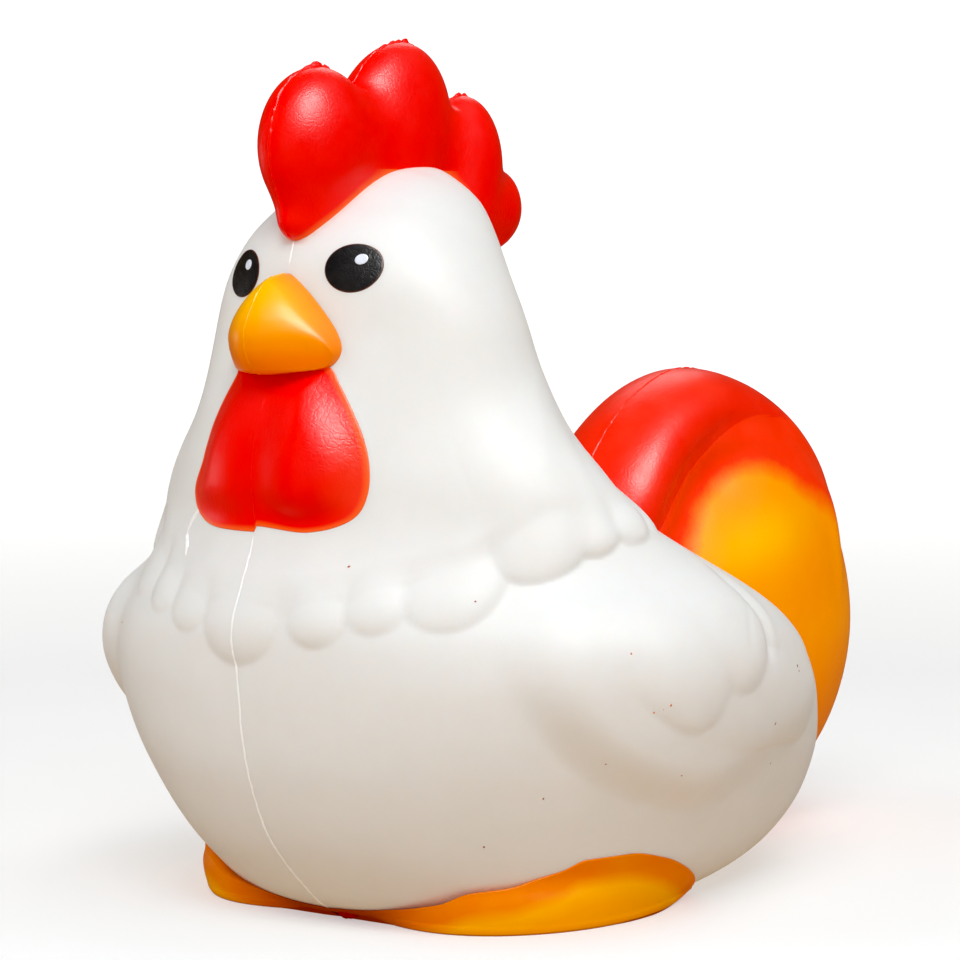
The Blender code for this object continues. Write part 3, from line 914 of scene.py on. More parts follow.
def traced(f, centre, angles, far=60.0):
    """Outermost points of a shape on the seam plane, seen from a centre. Angles from +Y up to +Z."""
    a = np.radians(angles)[:, None]
    r = np.linspace(far, 2.0, 480)[None, :]
    p = np.stack([np.zeros((len(angles), r.shape[1])), centre[0] + np.cos(a) * r, centre[1] + np.sin(a) * r], -1)
    v = f(p)
    k = np.argmax(v < 0, axis=1)
    rows_ = np.arange(len(angles))
    v0, v1 = v[rows_, k - 1], v[rows_, k]
    t = v0 / np.where(v0 - v1 == 0, 1, v0 - v1)
    return p[rows_, k - 1] + (p[rows_, k] - p[rows_, k - 1]) * t[:, None]


z_front = np.linspace(1.2, 55.6, 220)
p_front = skin(np.zeros(220), z_front)[0]
flash_white = [flash("flash_front", p_front, 0.44, 0.17, 1, 0.4, 0.12)]
z_brow = np.linspace(92.6, 96.4, 24)
flash_white.append(flash("flash_brow", skin(np.zeros(24), z_brow)[0], 0.4, 0.14, 2, 0.3, 0.1))
z_nape = np.linspace(62.0, 101.0, 160)
flash_white.append(flash("flash_nape", skin(np.full(160, math.pi), z_nape)[0], 0.42, 0.18, 3, 0.35, 0.12))
z_bib = np.linspace(56.8, 77.4, 90)
flash_red = [flash("flash_wattle", skin(np.zeros(90), z_bib, 0.12)[0], 0.36, 0.16, 5, 0.85, 0.08)]
comb_line = traced(comb_shape, (-20.0, 97.0), np.linspace(188, 6, 420))
comb_line = comb_line[depth_of(comb_line) > 0.1]
tops = [k for k in range(8, len(comb_line) - 8) if comb_line[k, 2] == comb_line[k - 8:k + 9, 2].max()]
flash_red.append(flash("flash_comb", comb_line, 0.66, 0.4, 6, 0.6, 0.14, beads=[(comb_line[k, 1], comb_line[k, 2], 2.3) for k in tops]))
a = np.linspace(163, -4, 260)
crest_line = np.stack([0 * a, TAIL_MIDDLE[0] + np.cos(np.radians(a)) * (crest_radius(a) + crest_deep(a)),
                       TAIL_MIDDLE[1] + np.sin(np.radians(a)) * (crest_radius(a) + crest_deep(a))], 1)
crest_line = crest_line[depth_of(crest_line) > 1.6]
flash_tail = flash("flash_crest", crest_line, 0.6, 0.24, 7, 0.7, 0.12)
a = np.linspace(28, -70, 200)
plume_line = np.stack([0 * a, PLUME_MIDDLE[0] + np.cos(np.radians(a)) * plume_radius(a),
                       PLUME_MIDDLE[1] + np.sin(np.radians(a)) * plume_radius(a)], 1)
plume_line = plume_line[(crest_shape(plume_line) > 0.2) & (plume_line[:, 2] > 0.8)]
flash_plume = flash("flash_plume", plume_line, 0.5, 0.2, 8, 0.5, 0.1)
flash_beak = flash("flash_beak", beak_seam[2:-3], 0.5, 0.24, 9, 0.45, 0.12)
# a ragged fin on the right side of the ruff, from an air vent in the mould
u_fin, z_fin = np.array((-13.5, -15.6, -17.0, -15.9, -15.2)), np.array((59.4, 57.2, 54.8, 53.1, 51.4))
p_fin, n_fin = on_skin(np.interp(np.linspace(0, 4, 30), range(5), u_fin), np.interp(np.linspace(0, 4, 30), range(5), z_fin))
flash_white.append(flash("flash_vent", p_fin, 1.0, 0.4, 10, 0.85, 0.3, out=n_fin))


# ---------------------------------------------------------------- small blemishes
def blob(name, places, attributes=None):
    """Low rounded specks on the skin: (u, z, radius, height) each."""
    pts, quads, tris = [], [], []
    for u, z, radius, height in places:
        radius *= 0.8
        p, n = on_skin(u, z)
        p, n = p[0], n[0]
        side = np.cross(n, [0, 0, 1.0])
        side /= np.linalg.norm(side)
        up = np.cross(side, n)
        base = len(pts)
        sides_ = 14
        for k in (1.0, 0.8, 0.45):
            h = height * (1 - k * k) - (0.12 if k == 1.0 else 0)
            for j in range(sides_):
                t = TAU * j / sides_
                r = radius * k * (1 + 0.18 * math.sin(2 * t + u) + 0.1 * math.sin(3 * t + z))
                pts.append(p + side * (r * math.cos(t)) + up * (r * math.sin(t)) + n * h)
        pts += [p + n * height, p - n * 0.15]
        ring = [[base + i * sides_ + j for j in range(sides_)] for i in range(3)]
        for i in range(2):
            for j in range(sides_):
                jj = (j + 1) % sides_
                quads.append((ring[i][j], ring[i + 1][j], ring[i + 1][jj], ring[i][jj]))
        for j in range(sides_):
            jj = (j + 1) % sides_
            tris.append((ring[2][j], base + 3 * sides_, ring[2][jj]))
            tris.append((ring[0][jj], base + 3 * sides_ + 1, ring[0][j]))
    obj = new_mesh(name, pts, quads, tris, {"rim": np.full(len(pts), 5.0)})
    a, b, c = (np.array(pts[k]) for k in (quads[0][0], quads[0][1], quads[0][3]))
    outward = skin(np.array([turn_at(places[0][0], places[0][1])]), np.array([places[0][1]]))[1][0]
    if np.dot(np.cross(b - a, c - a), outward) < 0:
        obj.data.flip_normals()
    return obj


def pebble(name, centre, half):
    """A small lumpy bead."""
    rows_, cols_ = 16, 28
    a, b = np.meshgrid(np.linspace(0, math.pi, rows_)[1:-1], np.linspace(0, TAU, cols_, endpoint=False), indexing="ij")
    lump = 1 + 0.07 * np.sin(3 * b + 1.0) * np.sin(a) + 0.05 * np.sin(5 * b) * np.sin(2 * a)
    d = np.stack([np.sin(a) * np.cos(b), np.sin(a) * np.sin(b), np.cos(a)], -1) * lump[..., None]
    pts = np.concatenate([d.reshape(-1, 3), [[0, 0, 1.0]], [[0, 0, -1.0]]]) * np.asarray(half) + np.asarray(centre)
    n_, i = rows_ - 2, np.arange(cols_)
    j = (i + 1) % cols_
    tris = np.concatenate([np.stack([i, j, np.full(cols_, n_ * cols_)], 1),
                           np.stack([(n_ - 1) * cols_ + j, (n_ - 1) * cols_ + i, np.full(cols_, n_ * cols_ + 1)], 1)])
    return new_mesh(name, pts, grid_quads(n_, cols_, wrap=True)[:, ::-1], tris, {"rim": np.full(len(pts), 5.0)})


nub = pebble("flash_gate", (2.2, -34.0, 1.35), (1.9, 1.4, 1.25))

# stray droplets of paint: distance round, height, radius, thickness
SPECKS = (
    (15.0, 51.7, 0.26, 0.07), (33.4, 47.4, 0.2, 0.05), (55.5, 40.1, 0.22, 0.06), (61.2, 34.0, 0.26, 0.07),
    (58.9, 33.1, 0.3, 0.08), (60.1, 33.5, 0.1, 0.04), (84.8, 28.5, 0.28, 0.07), (93.5, 35.3, 0.3, 0.08),
    (93.9, 34.6, 0.2, 0.06), (51.9, 25.9, 0.18, 0.05), (63.3, 23.8, 0.2, 0.05), (88.0, 20.8, 0.2, 0.05),
    (42.2, 20.5, 0.22, 0.06), (31.5, 13.5, 0.24, 0.06), (-35.0, 41.0, 0.22, 0.06), (-62.0, 26.0, 0.24, 0.06),
    (-80.0, 38.0, 0.2, 0.05), (-48.0, 18.0, 0.22, 0.05))
specks = blob("paint_specks", SPECKS)

# ---------------------------------------------------------------- how the paint lies, point by point
def attribute(obj, key, values):
    layer = obj.data.attributes.get(key) or obj.data.attributes.new(key, "FLOAT", "POINT")
    layer.data.foreach_set("value", np.asarray(values, np.float32))


def design_points(obj):
    v = np.zeros(len(obj.data.vertices) * 3, np.float32)
    obj.data.vertices.foreach_get("co", v)
    p = v.reshape(-1, 3).astype(float) / MM
    p[:, 1] -= Y_SHIFT
    return p


def near_shape(f, p, box):
    """Distance to a shape, worked out only near it."""
    low, high = box
    out = np.full(len(p), 30.0)
    k = np.all((p > np.asarray(low)) & (p < np.asarray(high)), axis=1)
    out[k] = np.clip(f(p[k]), 0, 30)
    return out


fp = design_points(foam)
d_comb = near_shape(comb_shape, fp, ((-20, -60, 88), (20, 16, 112)))
d_tail = near_shape(crest_shape, fp, ((-30, 0, 36), (30, 60, 80)))
d_plume = near_shape(plume_shape, fp, ((-30, 10, 2), (30, 75, 70)))
# red mist from the spray round the comb's rear and the tail, and a thin orange haze where paint ends
blush = 0.55 * np.exp(-np.abs(d_comb - 1.6) / 1.6) * smooth(fp[:, 1], -34, -20) + 0.6 * np.exp(-d_tail / 2.4)
attribute(foam, "blush", np.clip(blush * (0.75 + 0.35 * hash_noise(fp[:, 1] / 3.0 + fp[:, 2] / 2.0, 3)), 0, 1))
haze = 0.5 * np.exp(-d_plume / 0.9) + 0.45 * np.exp(-np.clip(d_comb, 0, 30) / 0.35)
attribute(foam, "haze", np.clip(haze, 0, 1))

op_ = design_points(plume)
rear = smooth(op_[:, 1], 64, 86)
wide = (6.0 + 4.5 * (1 - smooth(op_[:, 1], 31, 48))) * (1 - 0.72 * rear)
fade = 1 - smooth(np.clip(crest_shape(op_), 0, 40) - 1.4 * (1 - 0.8 * rear), 0.0, wide)
attribute(plume, "fade", np.clip(fade, 0, 1))
# yellow mist across the middle of the plume; low at the back a darker, redder orange, painted shade for the dimmer,
# warmer light down there
glow = np.exp(-(((op_[:, 1] - 52.5) / 13.0) ** 2 + ((op_[:, 2] - 48.5 - 0.18 * (op_[:, 1] - 52)) / 4.6) ** 2))
attribute(plume, "glow", np.clip(glow, 0, 1))
attribute(plume, "low", 1 - smooth(op_[:, 2], 14, 36))
for o, side in ((foot_left, 1), (foot_right, -1)):
    q = design_points(o)
    turn_ = np.degrees(np.arctan2(side * q[:, 0], -(q[:, 1] + 6.0)))
    # darker paint towards the front seam, partly thin paint and partly painted shade
    attribute(o, "front", 1 - smooth(turn_, 8, 34))
    # a painted contact shadow along the foot's lowest half millimetre
    attribute(o, "contact_shade", 1 - smooth(q[:, 2], 0.05, 0.4))
wp = design_points(wattle)
attribute(wattle, "side", smooth(np.abs(wp[:, 0]), 9.5, 15.0) * smooth(wp[:, 2], 56, 62) * (1 - smooth(wp[:, 2], 72, 79)))
attribute(beak, "up", smooth(design_points(beak)[:, 2], 78.0, 91.0))


# ---------------------------------------------------------------- finishes
class Nodes:
    """Small helper to lay out shader nodes."""

    def __init__(self, name):
        self.mat = bpy.data.materials.new(name)
        self.mat.use_nodes = True
        self.tree = self.mat.node_tree
        self.shader = self.tree.nodes["Principled BSDF"]
        self.place = self.add("ShaderNodeTexCoord").outputs["Object"]

    def add(self, kind, **values):
        node = self.tree.nodes.new(kind)
        for key, value in values.items():
            setattr(node, key, value)
        return node

    def plug(self, value, socket):
        if isinstance(value, bpy.types.NodeSocket):
            self.tree.links.new(value, socket)
        else:
            socket.default_value = value

    def noise(self, scale, detail=2.0, rough=0.5, stretch=None, warp=0.0):
        node = self.add("ShaderNodeTexNoise")
        node.inputs["Scale"].default_value = scale
        node.inputs["Detail"].default_value = detail
        node.inputs["Roughness"].default_value = rough
        node.inputs["Distortion"].default_value = warp
        self.tree.links.new(self.scaled(stretch), node.inputs["Vector"])
        return node.outputs["Fac"]

    def scaled(self, stretch):
        if stretch is None:
            return self.place
        m = self.add("ShaderNodeMapping")
        m.inputs["Scale"].default_value = stretch
        self.tree.links.new(self.place, m.inputs["Vector"])
        return m.outputs["Vector"]

    def cells(self, scale, feature="SMOOTH_F1", stretch=None, warp=None, smoothness=0.6):
        node = self.add("ShaderNodeTexVoronoi", feature=feature)
        node.inputs["Scale"].default_value = scale
        if "Smoothness" in node.inputs and feature == "SMOOTH_F1":
            node.inputs["Smoothness"].default_value = smoothness
        vector = self.scaled(stretch)
        if warp is not None:
            mix = self.add("ShaderNodeMixRGB", blend_type="LINEAR_LIGHT")
            mix.inputs["Fac"].default_value = warp[1]
            self.tree.links.new(vector, mix.inputs["Color1"])
            n = self.add("ShaderNodeTexNoise")
            n.inputs["Scale"].default_value = warp[0]
            self.tree.links.new(vector, n.inputs["Vector"])
            self.tree.links.new(n.outputs["Color"], mix.inputs["Color2"])
            vector = mix.outputs["Color"]
        self.tree.links.new(vector, node.inputs["Vector"])
        return node.outputs["Distance"]

    def ramp(self, value, *stops):
        node = self.add("ShaderNodeValToRGB")
        e = node.color_ramp.elements
        while len(e) < len(stops):
            e.new(0.5)
        for k, (at, colour) in enumerate(stops):
            e[k].position = at
            e[k].color = (*colour, 1) if hasattr(colour, "__len__") else (colour, colour, colour, 1)
        self.tree.links.new(value, node.inputs["Fac"])
        return node.outputs["Color"]

    def math(self, op, a, b=0.0, clamp=False):
        node = self.add("ShaderNodeMath", operation=op, use_clamp=clamp)
        self.plug(a, node.inputs[0])
        self.plug(b, node.inputs[1])
        return node.outputs[0]

    def mix(self, factor, a, b):
        node = self.add("ShaderNodeMixRGB")
        self.plug(factor, node.inputs["Fac"])
        for value, key in ((a, "Color1"), (b, "Color2")):
            self.plug((*value, 1) if isinstance(value, tuple) else value, node.inputs[key])
        return node.outputs["Color"]

    def read(self, key):
        return self.add("ShaderNodeAttribute", attribute_name=key).outputs["Fac"]

    def bump(self, *layers):
        """Layers of (height, strength, depth in mm), stacked."""
        normal = None
        for height, strength, depth in layers:
            node = self.add("ShaderNodeBump")
            node.inputs["Strength"].default_value = strength
            node.inputs["Distance"].default_value = depth * MM
            self.tree.links.new(height, node.inputs["Height"])
            if normal is not None:
                self.tree.links.new(normal, node.inputs["Normal"])
            normal = node.outputs["Normal"]
        self.tree.links.new(normal, self.shader.inputs["Normal"])

    def set(self, **values):
        for key, value in values.items():
            self.plug(value, self.shader.inputs[key.replace("_", " ")])


def wrinkles(m, scale, strength=0.5, depth=0.05, stretch=None):
    """Skin of a squeezed foam toy: fine crossing creases over a soft orange peel."""
    crease = m.ramp(m.cells(scale, "DISTANCE_TO_EDGE", stretch, warp=(scale * 0.55, 0.0016)), (0.0, 0.0), (0.16, 1.0))
    return ((crease, strength, depth), (m.noise(scale * 0.45, 3.0, 0.55, stretch), strength, depth * 1.2))


def satin(m, level=0.32, subsurface=0.0, radius=(1.0, 0.5, 0.3), size=0.002):
    m.shader.inputs["Specular IOR Level"].default_value = level
    m.shader.inputs["Subsurface Weight"].default_value = subsurface
    m.shader.inputs["Subsurface Radius"].default_value = radius
    m.shader.inputs["Subsurface Scale"].default_value = size


def foam_white():
    m = Nodes("foam_white")
    base = m.ramp(m.noise(55, 3.0, 0.5), (0.3, (0.775, 0.765, 0.745)), (0.7, (0.815, 0.805, 0.79)))
    tired = m.ramp(m.noise(260, 4.0, 0.6), (0.42, (0.80, 0.785, 0.76)), (0.6, (0.815, 0.805, 0.79)))
    base = m.mix(0.35, base, tired)
    base = m.mix(m.read("blush"), base, (0.86, 0.47, 0.43))
    base = m.mix(m.read("haze"), base, (0.90, 0.40, 0.22))
    m.set(Base_Color=base, Roughness=m.ramp(m.noise(320, 3.0, 0.6), (0.3, 0.40), (0.75, 0.52)))
    m.bump((m.noise(90, 2.0, 0.5), 0.25, 0.12), (m.noise(1300, 3.0, 0.6), 0.16, 0.03),
           (m.ramp(m.cells(620, "DISTANCE_TO_EDGE", None, warp=(400, 0.0014)), (0.0, 0.0), (0.12, 1.0)), 0.10, 0.02))
    satin(m, 0.10, 0.3, (1.0, 0.72, 0.55), 0.0028)
    return m.mat


def foam_edge():
    """The thin fins at the seam: the same foam, given a brighter colour and a faint glow, painted light that keeps them
    bright against their shaded sides.
    """
    m = Nodes("foam_edge")
    m.set(Base_Color=m.ramp(m.noise(300, 3.0, 0.5), (0.3, (0.90, 0.895, 0.885)), (0.7, (0.94, 0.937, 0.93))),
          Roughness=m.ramp(m.noise(320, 3.0, 0.6), (0.3, 0.40), (0.75, 0.52)))
    m.bump((m.noise(1300, 3.0, 0.6), 0.2, 0.03), (m.noise(600, 2.0, 0.5), 0.2, 0.05))
    satin(m, 0.3)
    # faint self-glow: painted light on the fins
    m.shader.inputs["Emission Color"].default_value = (1.0, 0.99, 0.97, 1)
    m.shader.inputs["Emission Strength"].default_value = 0.06
    return m.mat


def paint_red(name, edge=True, side=False, streaks=False, tail=False):
    m = Nodes(name)
    mottle = m.noise(120, 3.0, 0.55)
    base = m.ramp(mottle, (0.3, (0.90, 0.0030, 0.0009)), (0.72, (0.94, 0.0055, 0.0014)))
    if tail:
        base = m.ramp(mottle, (0.3, (0.92, 0.016, 0.0030)), (0.72, (0.96, 0.028, 0.006)))
    if side:
        base = m.mix(m.math("MULTIPLY", m.read("side"), 0.75), base, (0.92, 0.040, 0.010))
    if edge:
        # paint thins out to orange in the last half millimetre before the white foam
        base = m.mix(m.ramp(m.read("rim"), (0.0, 1.0), (0.35, 0.75), (1.05, 0.0)), base, (0.97, 0.13, 0.018))
    rough = m.ramp(m.noise(240, 3.0, 0.6), (0.3, 0.30), (0.75, 0.40))
    m.set(Base_Color=base, Roughness=rough)
    layers = [(m.noise(80, 2.0, 0.5), 0.3, 0.12)]
    if streaks:
        # creases: a whorl of fine lines above, upright streaks below
        sep = m.add("ShaderNodeSeparateXYZ")
        m.tree.links.new(m.place, sep.inputs[0])
        low = m.ramp(m.math("MULTIPLY", sep.outputs["Z"], 10.0), (0.60, 1.0), (0.68, 0.0))
        tall = m.noise(1500, 3.0, 0.6, (1.0, 1.0, 0.28), 0.3)
        fine = m.ramp(m.cells(1050, "DISTANCE_TO_EDGE", None, warp=(520, 0.0016)), (0.0, 0.0), (0.2, 1.0))
        layers += [(m.mix(low, m.mix(0.5, fine, (0.5, 0.5, 0.5)), tall), 0.55, 0.055), (m.noise(900, 3.0, 0.6), 0.25, 0.03)]
    else:
        layers += list(wrinkles(m, 1000, 0.32, 0.035))
    m.bump(*layers)
    satin(m, 0.20, 0.0)
    return m.mat


def paint_beak():
    m = Nodes("paint_beak")
    up = m.math("ADD", m.read("up"), m.math("MULTIPLY", m.math("SUBTRACT", m.noise(1100, 1.0, 0.5, (0.05, 0.05, 1.0)), 0.5), 0.10))
    base = m.ramp(up, (0.05, (0.96, 0.205, 0.0008)), (0.38, (0.96, 0.31, 0.0008)), (0.62, (0.96, 0.39, 0.0009)), (0.95, (0.96, 0.47, 0.0012)))
    # darker orange in the last millimetre inside the border: painted shade where the beak's rounded edge turns away
    # from the light
    base = m.mix(m.ramp(m.read("rim"), (0.0, 0.7), (0.9, 0.0)), base, (0.86, 0.20, 0.001))
    base = m.mix(m.math("MULTIPLY", m.ramp(m.noise(700, 3.0, 0.6), (0.55, 0.0), (0.75, 1.0)), 0.12), base, (0.70, 0.20, 0.001))
    m.set(Base_Color=base, Roughness=m.ramp(m.noise(300, 3.0, 0.6), (0.3, 0.30), (0.75, 0.38)))
    m.bump((m.noise(90, 2.0, 0.5), 0.3, 0.1), (m.noise(1200, 3.0, 0.6, (0.5, 0.5, 1.0)), 0.16, 0.03))
    satin(m, 0.18)
    return m.mat


def paint_tail():
    m = Nodes("paint_tail")
    base = m.ramp(m.noise(70, 3.0, 0.55), (0.3, (0.96, 0.295, 0.0008)), (0.75, (0.98, 0.345, 0.0009)))
    base = m.mix(m.read("glow"), base, (0.98, 0.50, 0.0010))
    # low down the orange turns darker and redder: painted shade
    base = m.mix(m.math("MULTIPLY", m.read("low"), 0.7), base, (0.84, 0.20, 0.0008))
    # red sprayed over the upper edge, fading into the orange through a mist of droplets
    grain = m.math("MULTIPLY", m.math("SUBTRACT", m.noise(1500, 3.0, 0.7), 0.5), 0.22)
    drift = m.math("MULTIPLY", m.math("SUBTRACT", m.noise(170, 2.0, 0.5), 0.5), 0.35)
    red = m.ramp(m.math("ADD", m.read("fade"), m.math("ADD", grain, drift)), (0.20, 0.0), (0.50, 0.5), (0.84, 1.0))
    base = m.mix(red, base, m.ramp(m.noise(120, 3.0, 0.55), (0.3, (0.92, 0.016, 0.0030)), (0.72, (0.96, 0.028, 0.006))))
    m.set(Base_Color=base, Roughness=m.ramp(m.noise(240, 3.0, 0.6), (0.3, 0.32), (0.75, 0.42)))
    m.bump((m.noise(70, 2.0, 0.5), 0.35, 0.14), *wrinkles(m, 850, 0.2, 0.03))
    satin(m, 0.18)
    # a faint orange glow: painted light that brightens the plume
    m.shader.inputs["Emission Color"].default_value = (1.0, 0.16, 0.0, 1)
    m.shader.inputs["Emission Strength"].default_value = 0.09
    return m.mat


def paint_foot():
    m = Nodes("paint_orange")
    base = m.ramp(m.read("rim"), (0.0, (0.80, 0.165, 0.001)), (0.55, (0.84, 0.20, 0.001)), (1.0, (0.88, 0.30, 0.001)))
    # by distance below the paint border: a darker orange band just under it is painted shade where the body's slope
    # faces down; the yellower band lower down is partly yellow spray, partly painted light on the lit bulge of the foot
    tone = m.add("ShaderNodeMapRange")
    tone.inputs["From Max"].default_value = 7.5
    m.tree.links.new(m.read("rim"), tone.inputs["Value"])
    base = m.ramp(tone.outputs[0], (0.0, (0.88, 0.19, 0.001)), (0.34, (0.88, 0.20, 0.001)), (0.62, (0.98, 0.42, 0.001)), (0.95, (0.96, 0.36, 0.001)))
    base = m.mix(m.math("MULTIPLY", m.ramp(m.noise(140, 3.0, 0.6), (0.35, 0.0), (0.7, 1.0)), 0.3), base, (0.90, 0.34, 0.001))
    # dark red towards the front seam: partly the thin paint there, partly painted shade
    base = m.mix(m.read("front"), base, (0.36, 0.022, 0.002))
    # painted contact shadow along the bottom edge, where the foot meets the floor
    base = m.mix(m.math("MULTIPLY", m.read("contact_shade"), 0.8), base, (0.30, 0.025, 0.002))
    m.set(Base_Color=base, Roughness=m.ramp(m.noise(240, 3.0, 0.6), (0.3, 0.30), (0.75, 0.40)))
    m.bump((m.noise(90, 2.0, 0.5), 0.4, 0.14), *wrinkles(m, 900, 0.2, 0.03))
    satin(m, 0.18)
    # a faint orange glow: painted light that brightens the feet
    m.shader.inputs["Emission Color"].default_value = (1.0, 0.22, 0.0, 1)
    m.shader.inputs["Emission Strength"].default_value = 0.04
    return m.mat


def print_black():
    m = Nodes("print_black")
    base = m.ramp(m.noise(300, 3.0, 0.6), (0.3, (0.011, 0.011, 0.012)), (0.7, (0.022, 0.021, 0.021)))
    base = m.mix(m.ramp(m.read("rim"), (0.0, 1.0), (0.22, 0.0)), base, (0.16, 0.045, 0.02))
    m.set(Base_Color=base, Roughness=m.ramp(m.noise(500, 2.0, 0.5), (0.3, 0.34), (0.75, 0.46)))
    m.bump(*wrinkles(m, 1150, 0.42, 0.05), (m.noise(2300, 2.0, 0.6), 0.18, 0.02))
    satin(m, 0.26)
    return m.mat


def print_glint():
    m = Nodes("print_glint")
    base = m.ramp(m.noise(900, 3.0, 0.6), (0.3, (0.66, 0.69, 0.80)), (0.7, (0.78, 0.81, 0.90)))
    m.set(Base_Color=base, Roughness=m.ramp(m.noise(500, 2.0, 0.5), (0.3, 0.38), (0.75, 0.5)))
    m.bump((m.noise(1500, 3.0, 0.6), 0.3, 0.03), (m.noise(300, 2.0, 0.5), 0.2, 0.05))
    satin(m, 0.4)
    return m.mat


def speck_paint():
    m = Nodes("speck_paint")
    m.set(Base_Color=m.ramp(m.noise(60, 1.0, 0.5), (0.42, (0.30, 0.055, 0.02)), (0.58, (0.62, 0.20, 0.06))),
          Roughness=m.ramp(m.noise(500, 2.0, 0.5), (0.3, 0.4), (0.75, 0.5)))
    m.bump((m.noise(1500, 3.0, 0.6), 0.3, 0.03), (m.noise(700, 2.0, 0.5), 0.2, 0.03))
    satin(m, 0.3)
    return m.mat


def paint(obj, mat):
    obj.data.materials.clear()
    obj.data.materials.append(mat)


white = foam_white()
red_comb, red_wattle = paint_red("paint_red_comb"), paint_red("paint_red_wattle", side=True, streaks=True)
red_tail = paint_red("paint_red_tail", edge=False, tail=True)
yellow, orange, foot_paint = paint_beak(), paint_tail(), paint_foot()
black, glint, droplets = print_black(), print_glint(), speck_paint()

paint(foam, white)
seam_foam = foam_edge()
for o in flash_white:
    paint(o, seam_foam)
paint(comb, red_comb)
paint(wattle, red_wattle)
for o in flash_red:
    paint(o, red_comb)
paint(crest, red_tail)
paint(flash_tail, red_tail)
paint(beak, yellow)
attribute(flash_beak, "up", smooth(design_points(flash_beak)[:, 2], 76.0, 90.0))
paint(flash_beak, yellow)
paint(plume, orange)
paint(flash_plume, orange)
for o in (foot_left, foot_right):
    paint(o, foot_paint)
paint(specks, droplets)
# the gate nub's dark red: partly thin paint at the front seam, partly painted shade at the floor
dark = Nodes("paint_dark_red_and_shade")
dark.set(Base_Color=dark.ramp(dark.noise(600, 3.0, 0.6), (0.3, (0.32, 0.008, 0.002)), (0.7, (0.46, 0.014, 0.004))),
         Roughness=dark.ramp(dark.noise(400, 2.0, 0.5), (0.3, 0.36), (0.75, 0.5)))
dark.bump((dark.noise(1500, 3.0, 0.6), 0.3, 0.03), (dark.noise(700, 2.0, 0.5), 0.2, 0.04))
satin(dark, 0.2)
paint(nub, dark.mat)
for o in (eye_left, eye_right):
    paint(o, black)
for o in (glint_left, glint_right):
    paint(o, glint)

# ---------------------------------------------------------------- what rides on what
for o in [foam, wattle, beak, eye_left, eye_right, glint_left, glint_right, foot_left, foot_right,
          specks, nub, flash_red[0], flash_beak] + flash_white:
    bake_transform(o)
for o in (comb, flash_red[1]):
    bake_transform(o)
for o in (crest, plume, flash_tail, flash_plume):
    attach(o, "tail")
    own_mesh(o)
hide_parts("foam_body")
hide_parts("wattle")
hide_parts("beak")
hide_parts("comb")
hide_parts("eye_left")
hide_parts("eye_right")
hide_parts("tail_plume_red")
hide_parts("tail_plume_orange")
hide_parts("foot_left")
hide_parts("foot_right")

# ---------------------------------------------------------------- stage, light and camera
FLOOR_GLOW = 0.46
BOUNCE = (0.385, 0.23, 0.085)
floor_mesh = bpy.data.meshes.new("floor")
w = 1.6
sweep = [(-w, -w, 0), (w, -w, 0), (w, 0.55, 0), (-w, 0.55, 0)]
pts, faces = [(-w, -w, 0), (w, -w, 0)], []
profile = [(0.7, 0.0)] + [(0.7 + 0.6 * math.sin(t), 0.6 - 0.6 * math.cos(t)) for t in np.linspace(0, math.pi / 2, 17)[1:]] + [(1.3, 2.4)]
for y, z in profile:
    pts += [(-w, y, z), (w, y, z)]
faces = [(2 * k, 2 * k + 1, 2 * k + 3, 2 * k + 2) for k in range(len(pts) // 2 - 1)]
floor_mesh.from_pydata(pts, [], faces)
floor_mesh.update()
floor_mesh.shade_smooth()
floor = bpy.data.objects.new("floor", floor_mesh)
bpy.context.scene.collection.objects.link(floor)
floor.rotation_euler[2] = math.radians(37)
m = Nodes("floor_white")
# near white where it is seen; dimmer and warmer in what it throws back at the toy
path_node = m.add("ShaderNodeLightPath")
path, gloss = path_node.outputs["Is Camera Ray"], path_node.outputs["Is Glossy Ray"]
paper = m.ramp(m.noise(40, 3.0, 0.5), (0.3, (0.52, 0.519, 0.517)), (0.7, (0.535, 0.534, 0.532)))
out_there = m.add("ShaderNodeVectorMath")
out_there.operation = "LENGTH"
m.tree.links.new(m.place, out_there.inputs[0])
backlit = m.ramp(out_there.outputs["Value"], (0.25, (FLOOR_GLOW, FLOOR_GLOW, FLOOR_GLOW)), (0.85, (0.90, 0.90, 0.90)))
m.set(Base_Color=m.mix(gloss, m.mix(path, (0.30, 0.30, 0.30), paper), (0.08, 0.08, 0.08)), Roughness=m.ramp(m.noise(200, 3.0, 0.6), (0.3, 0.55), (0.7, 0.7)))
m.shader.inputs["Specular IOR Level"].default_value = 0.1
m.plug(m.mix(gloss, m.mix(path, BOUNCE, backlit), (0.10, 0.06, 0.02)), m.shader.inputs["Emission Color"])
m.shader.inputs["Emission Strength"].default_value = 1.0
floor_mat = m.mat
floor_mesh.materials.append(floor_mat)

scene = bpy.context.scene
world = bpy.data.worlds.new("studio")
scene.world = world
world.use_nodes = True
wt = world.node_tree
sky = wt.nodes["Background"]
ray = wt.nodes.new("ShaderNodeLightPath")
pick = wt.nodes.new("ShaderNodeMixRGB")
pick.inputs["Color2"].default_value = (0.97, 0.97, 0.97, 1)
shine = wt.nodes.new("ShaderNodeMixRGB")
shine.inputs["Color1"].default_value = (0.24, 0.305, 0.355, 1)
shine.inputs["Color2"].default_value = (0.025, 0.025, 0.026, 1)
wt.links.new(ray.outputs["Is Glossy Ray"], shine.inputs["Fac"])
wt.links.new(shine.outputs["Color"], pick.inputs["Color1"])
wt.links.new(ray.outputs["Is Camera Ray"], pick.inputs["Fac"])
wt.links.new(pick.outputs["Color"], sky.inputs["Color"])
sky.inputs["Strength"].default_value = 1.0


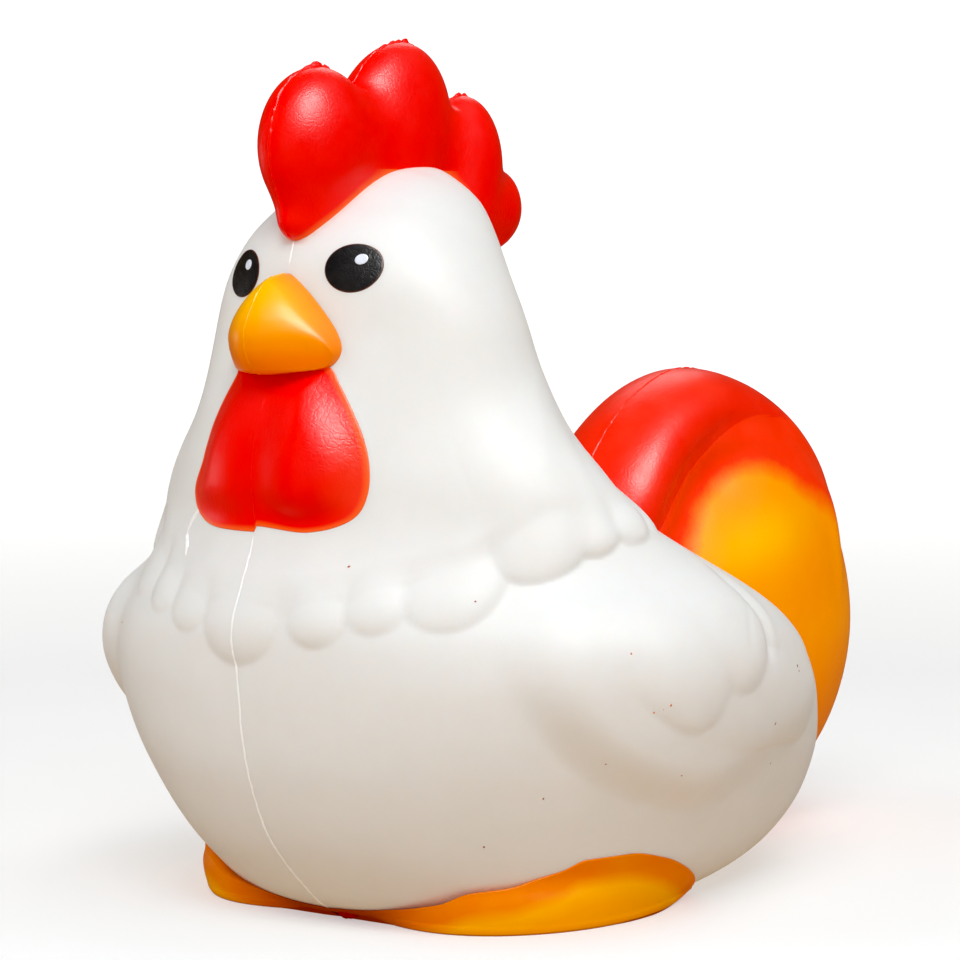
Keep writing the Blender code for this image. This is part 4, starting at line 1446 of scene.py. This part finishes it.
def softbox(name, azimuth, elevation, distance, size, power, mirror=False, colour=(1, 1, 1), aim=(0, 0, 0.06)):
    """Rectangular light. Azimuth as the camera's: 0 is in front of the beak, 90 on the bird's left."""
    light = bpy.data.lights.new(name, "AREA")
    light.shape = "RECTANGLE"
    light.size, light.size_y = size
    light.energy = power
    light.color = colour
    obj = bpy.data.objects.new(name, light)
    scene.collection.objects.link(obj)
    a, e = math.radians(azimuth), math.radians(elevation)
    back = np.array([math.sin(a) * math.cos(e), -math.cos(a) * math.cos(e), math.sin(e)])
    obj.location = tuple(np.array(aim) + back * distance)
    from mathutils import Vector
    obj.rotation_euler = Vector(back).to_track_quat("Z", "Y").to_euler()
    # the big soft lights shape the body; the mirror ones only draw the highlights
    obj.visible_glossy, obj.visible_diffuse, obj.visible_transmission = mirror, not mirror, not mirror
    return obj


softbox("camera_high", 35, 45, 0.9, (0.4, 0.4), 3.3)
softbox("key", 55, 50, 0.72, (0.36, 0.36), 0.6)
softbox("over_the_tail", 130, 65, 0.8, (0.5, 0.5), 1.6)
softbox("left_high", -40, 35, 0.8, (0.4, 0.4), 1.25)
softbox("left_low", -68, 0, 0.7, (0.2, 0.5), 0.4)
softbox("side", 95, 8, 0.8, (0.4, 0.4), 0.85)
softbox("front", 20, 12, 0.9, (0.5, 0.5), 0.85)
softbox("shine_key", 76, 48, 0.72, (0.38, 0.38), 15.0, True)
softbox("shine_left", -80, -8, 0.7, (0.12, 0.3), 0.45, True)
softbox("shine_rear", 215, 40, 0.8, (0.34, 0.34), 0.9, True)

camera_data = bpy.data.cameras.new("camera")
camera_data.lens = 125.49
camera_data.sensor_width = 36
camera_data.clip_start = 0.01
camera = bpy.data.objects.new("camera", camera_data)
scene.collection.objects.link(camera)
target = np.array([0.0, -0.0189, 0.060606])
ca, ce = math.radians(37), math.radians(4)
back = np.array([math.sin(ca) * math.cos(ce), -math.cos(ca) * math.cos(ce), math.sin(ce)])
camera.location = tuple(target + 0.5 * back)
from mathutils import Vector
camera.rotation_euler = Vector(back).to_track_quat("Z", "Y").to_euler()
scene.camera = camera
scene.view_settings.view_transform = "Standard"
scene.view_settings.use_curve_mapping = True
scene.view_settings.curve_mapping.black_level = (0.010, 0.0105, 0.0105)
scene.view_settings.curve_mapping.update()
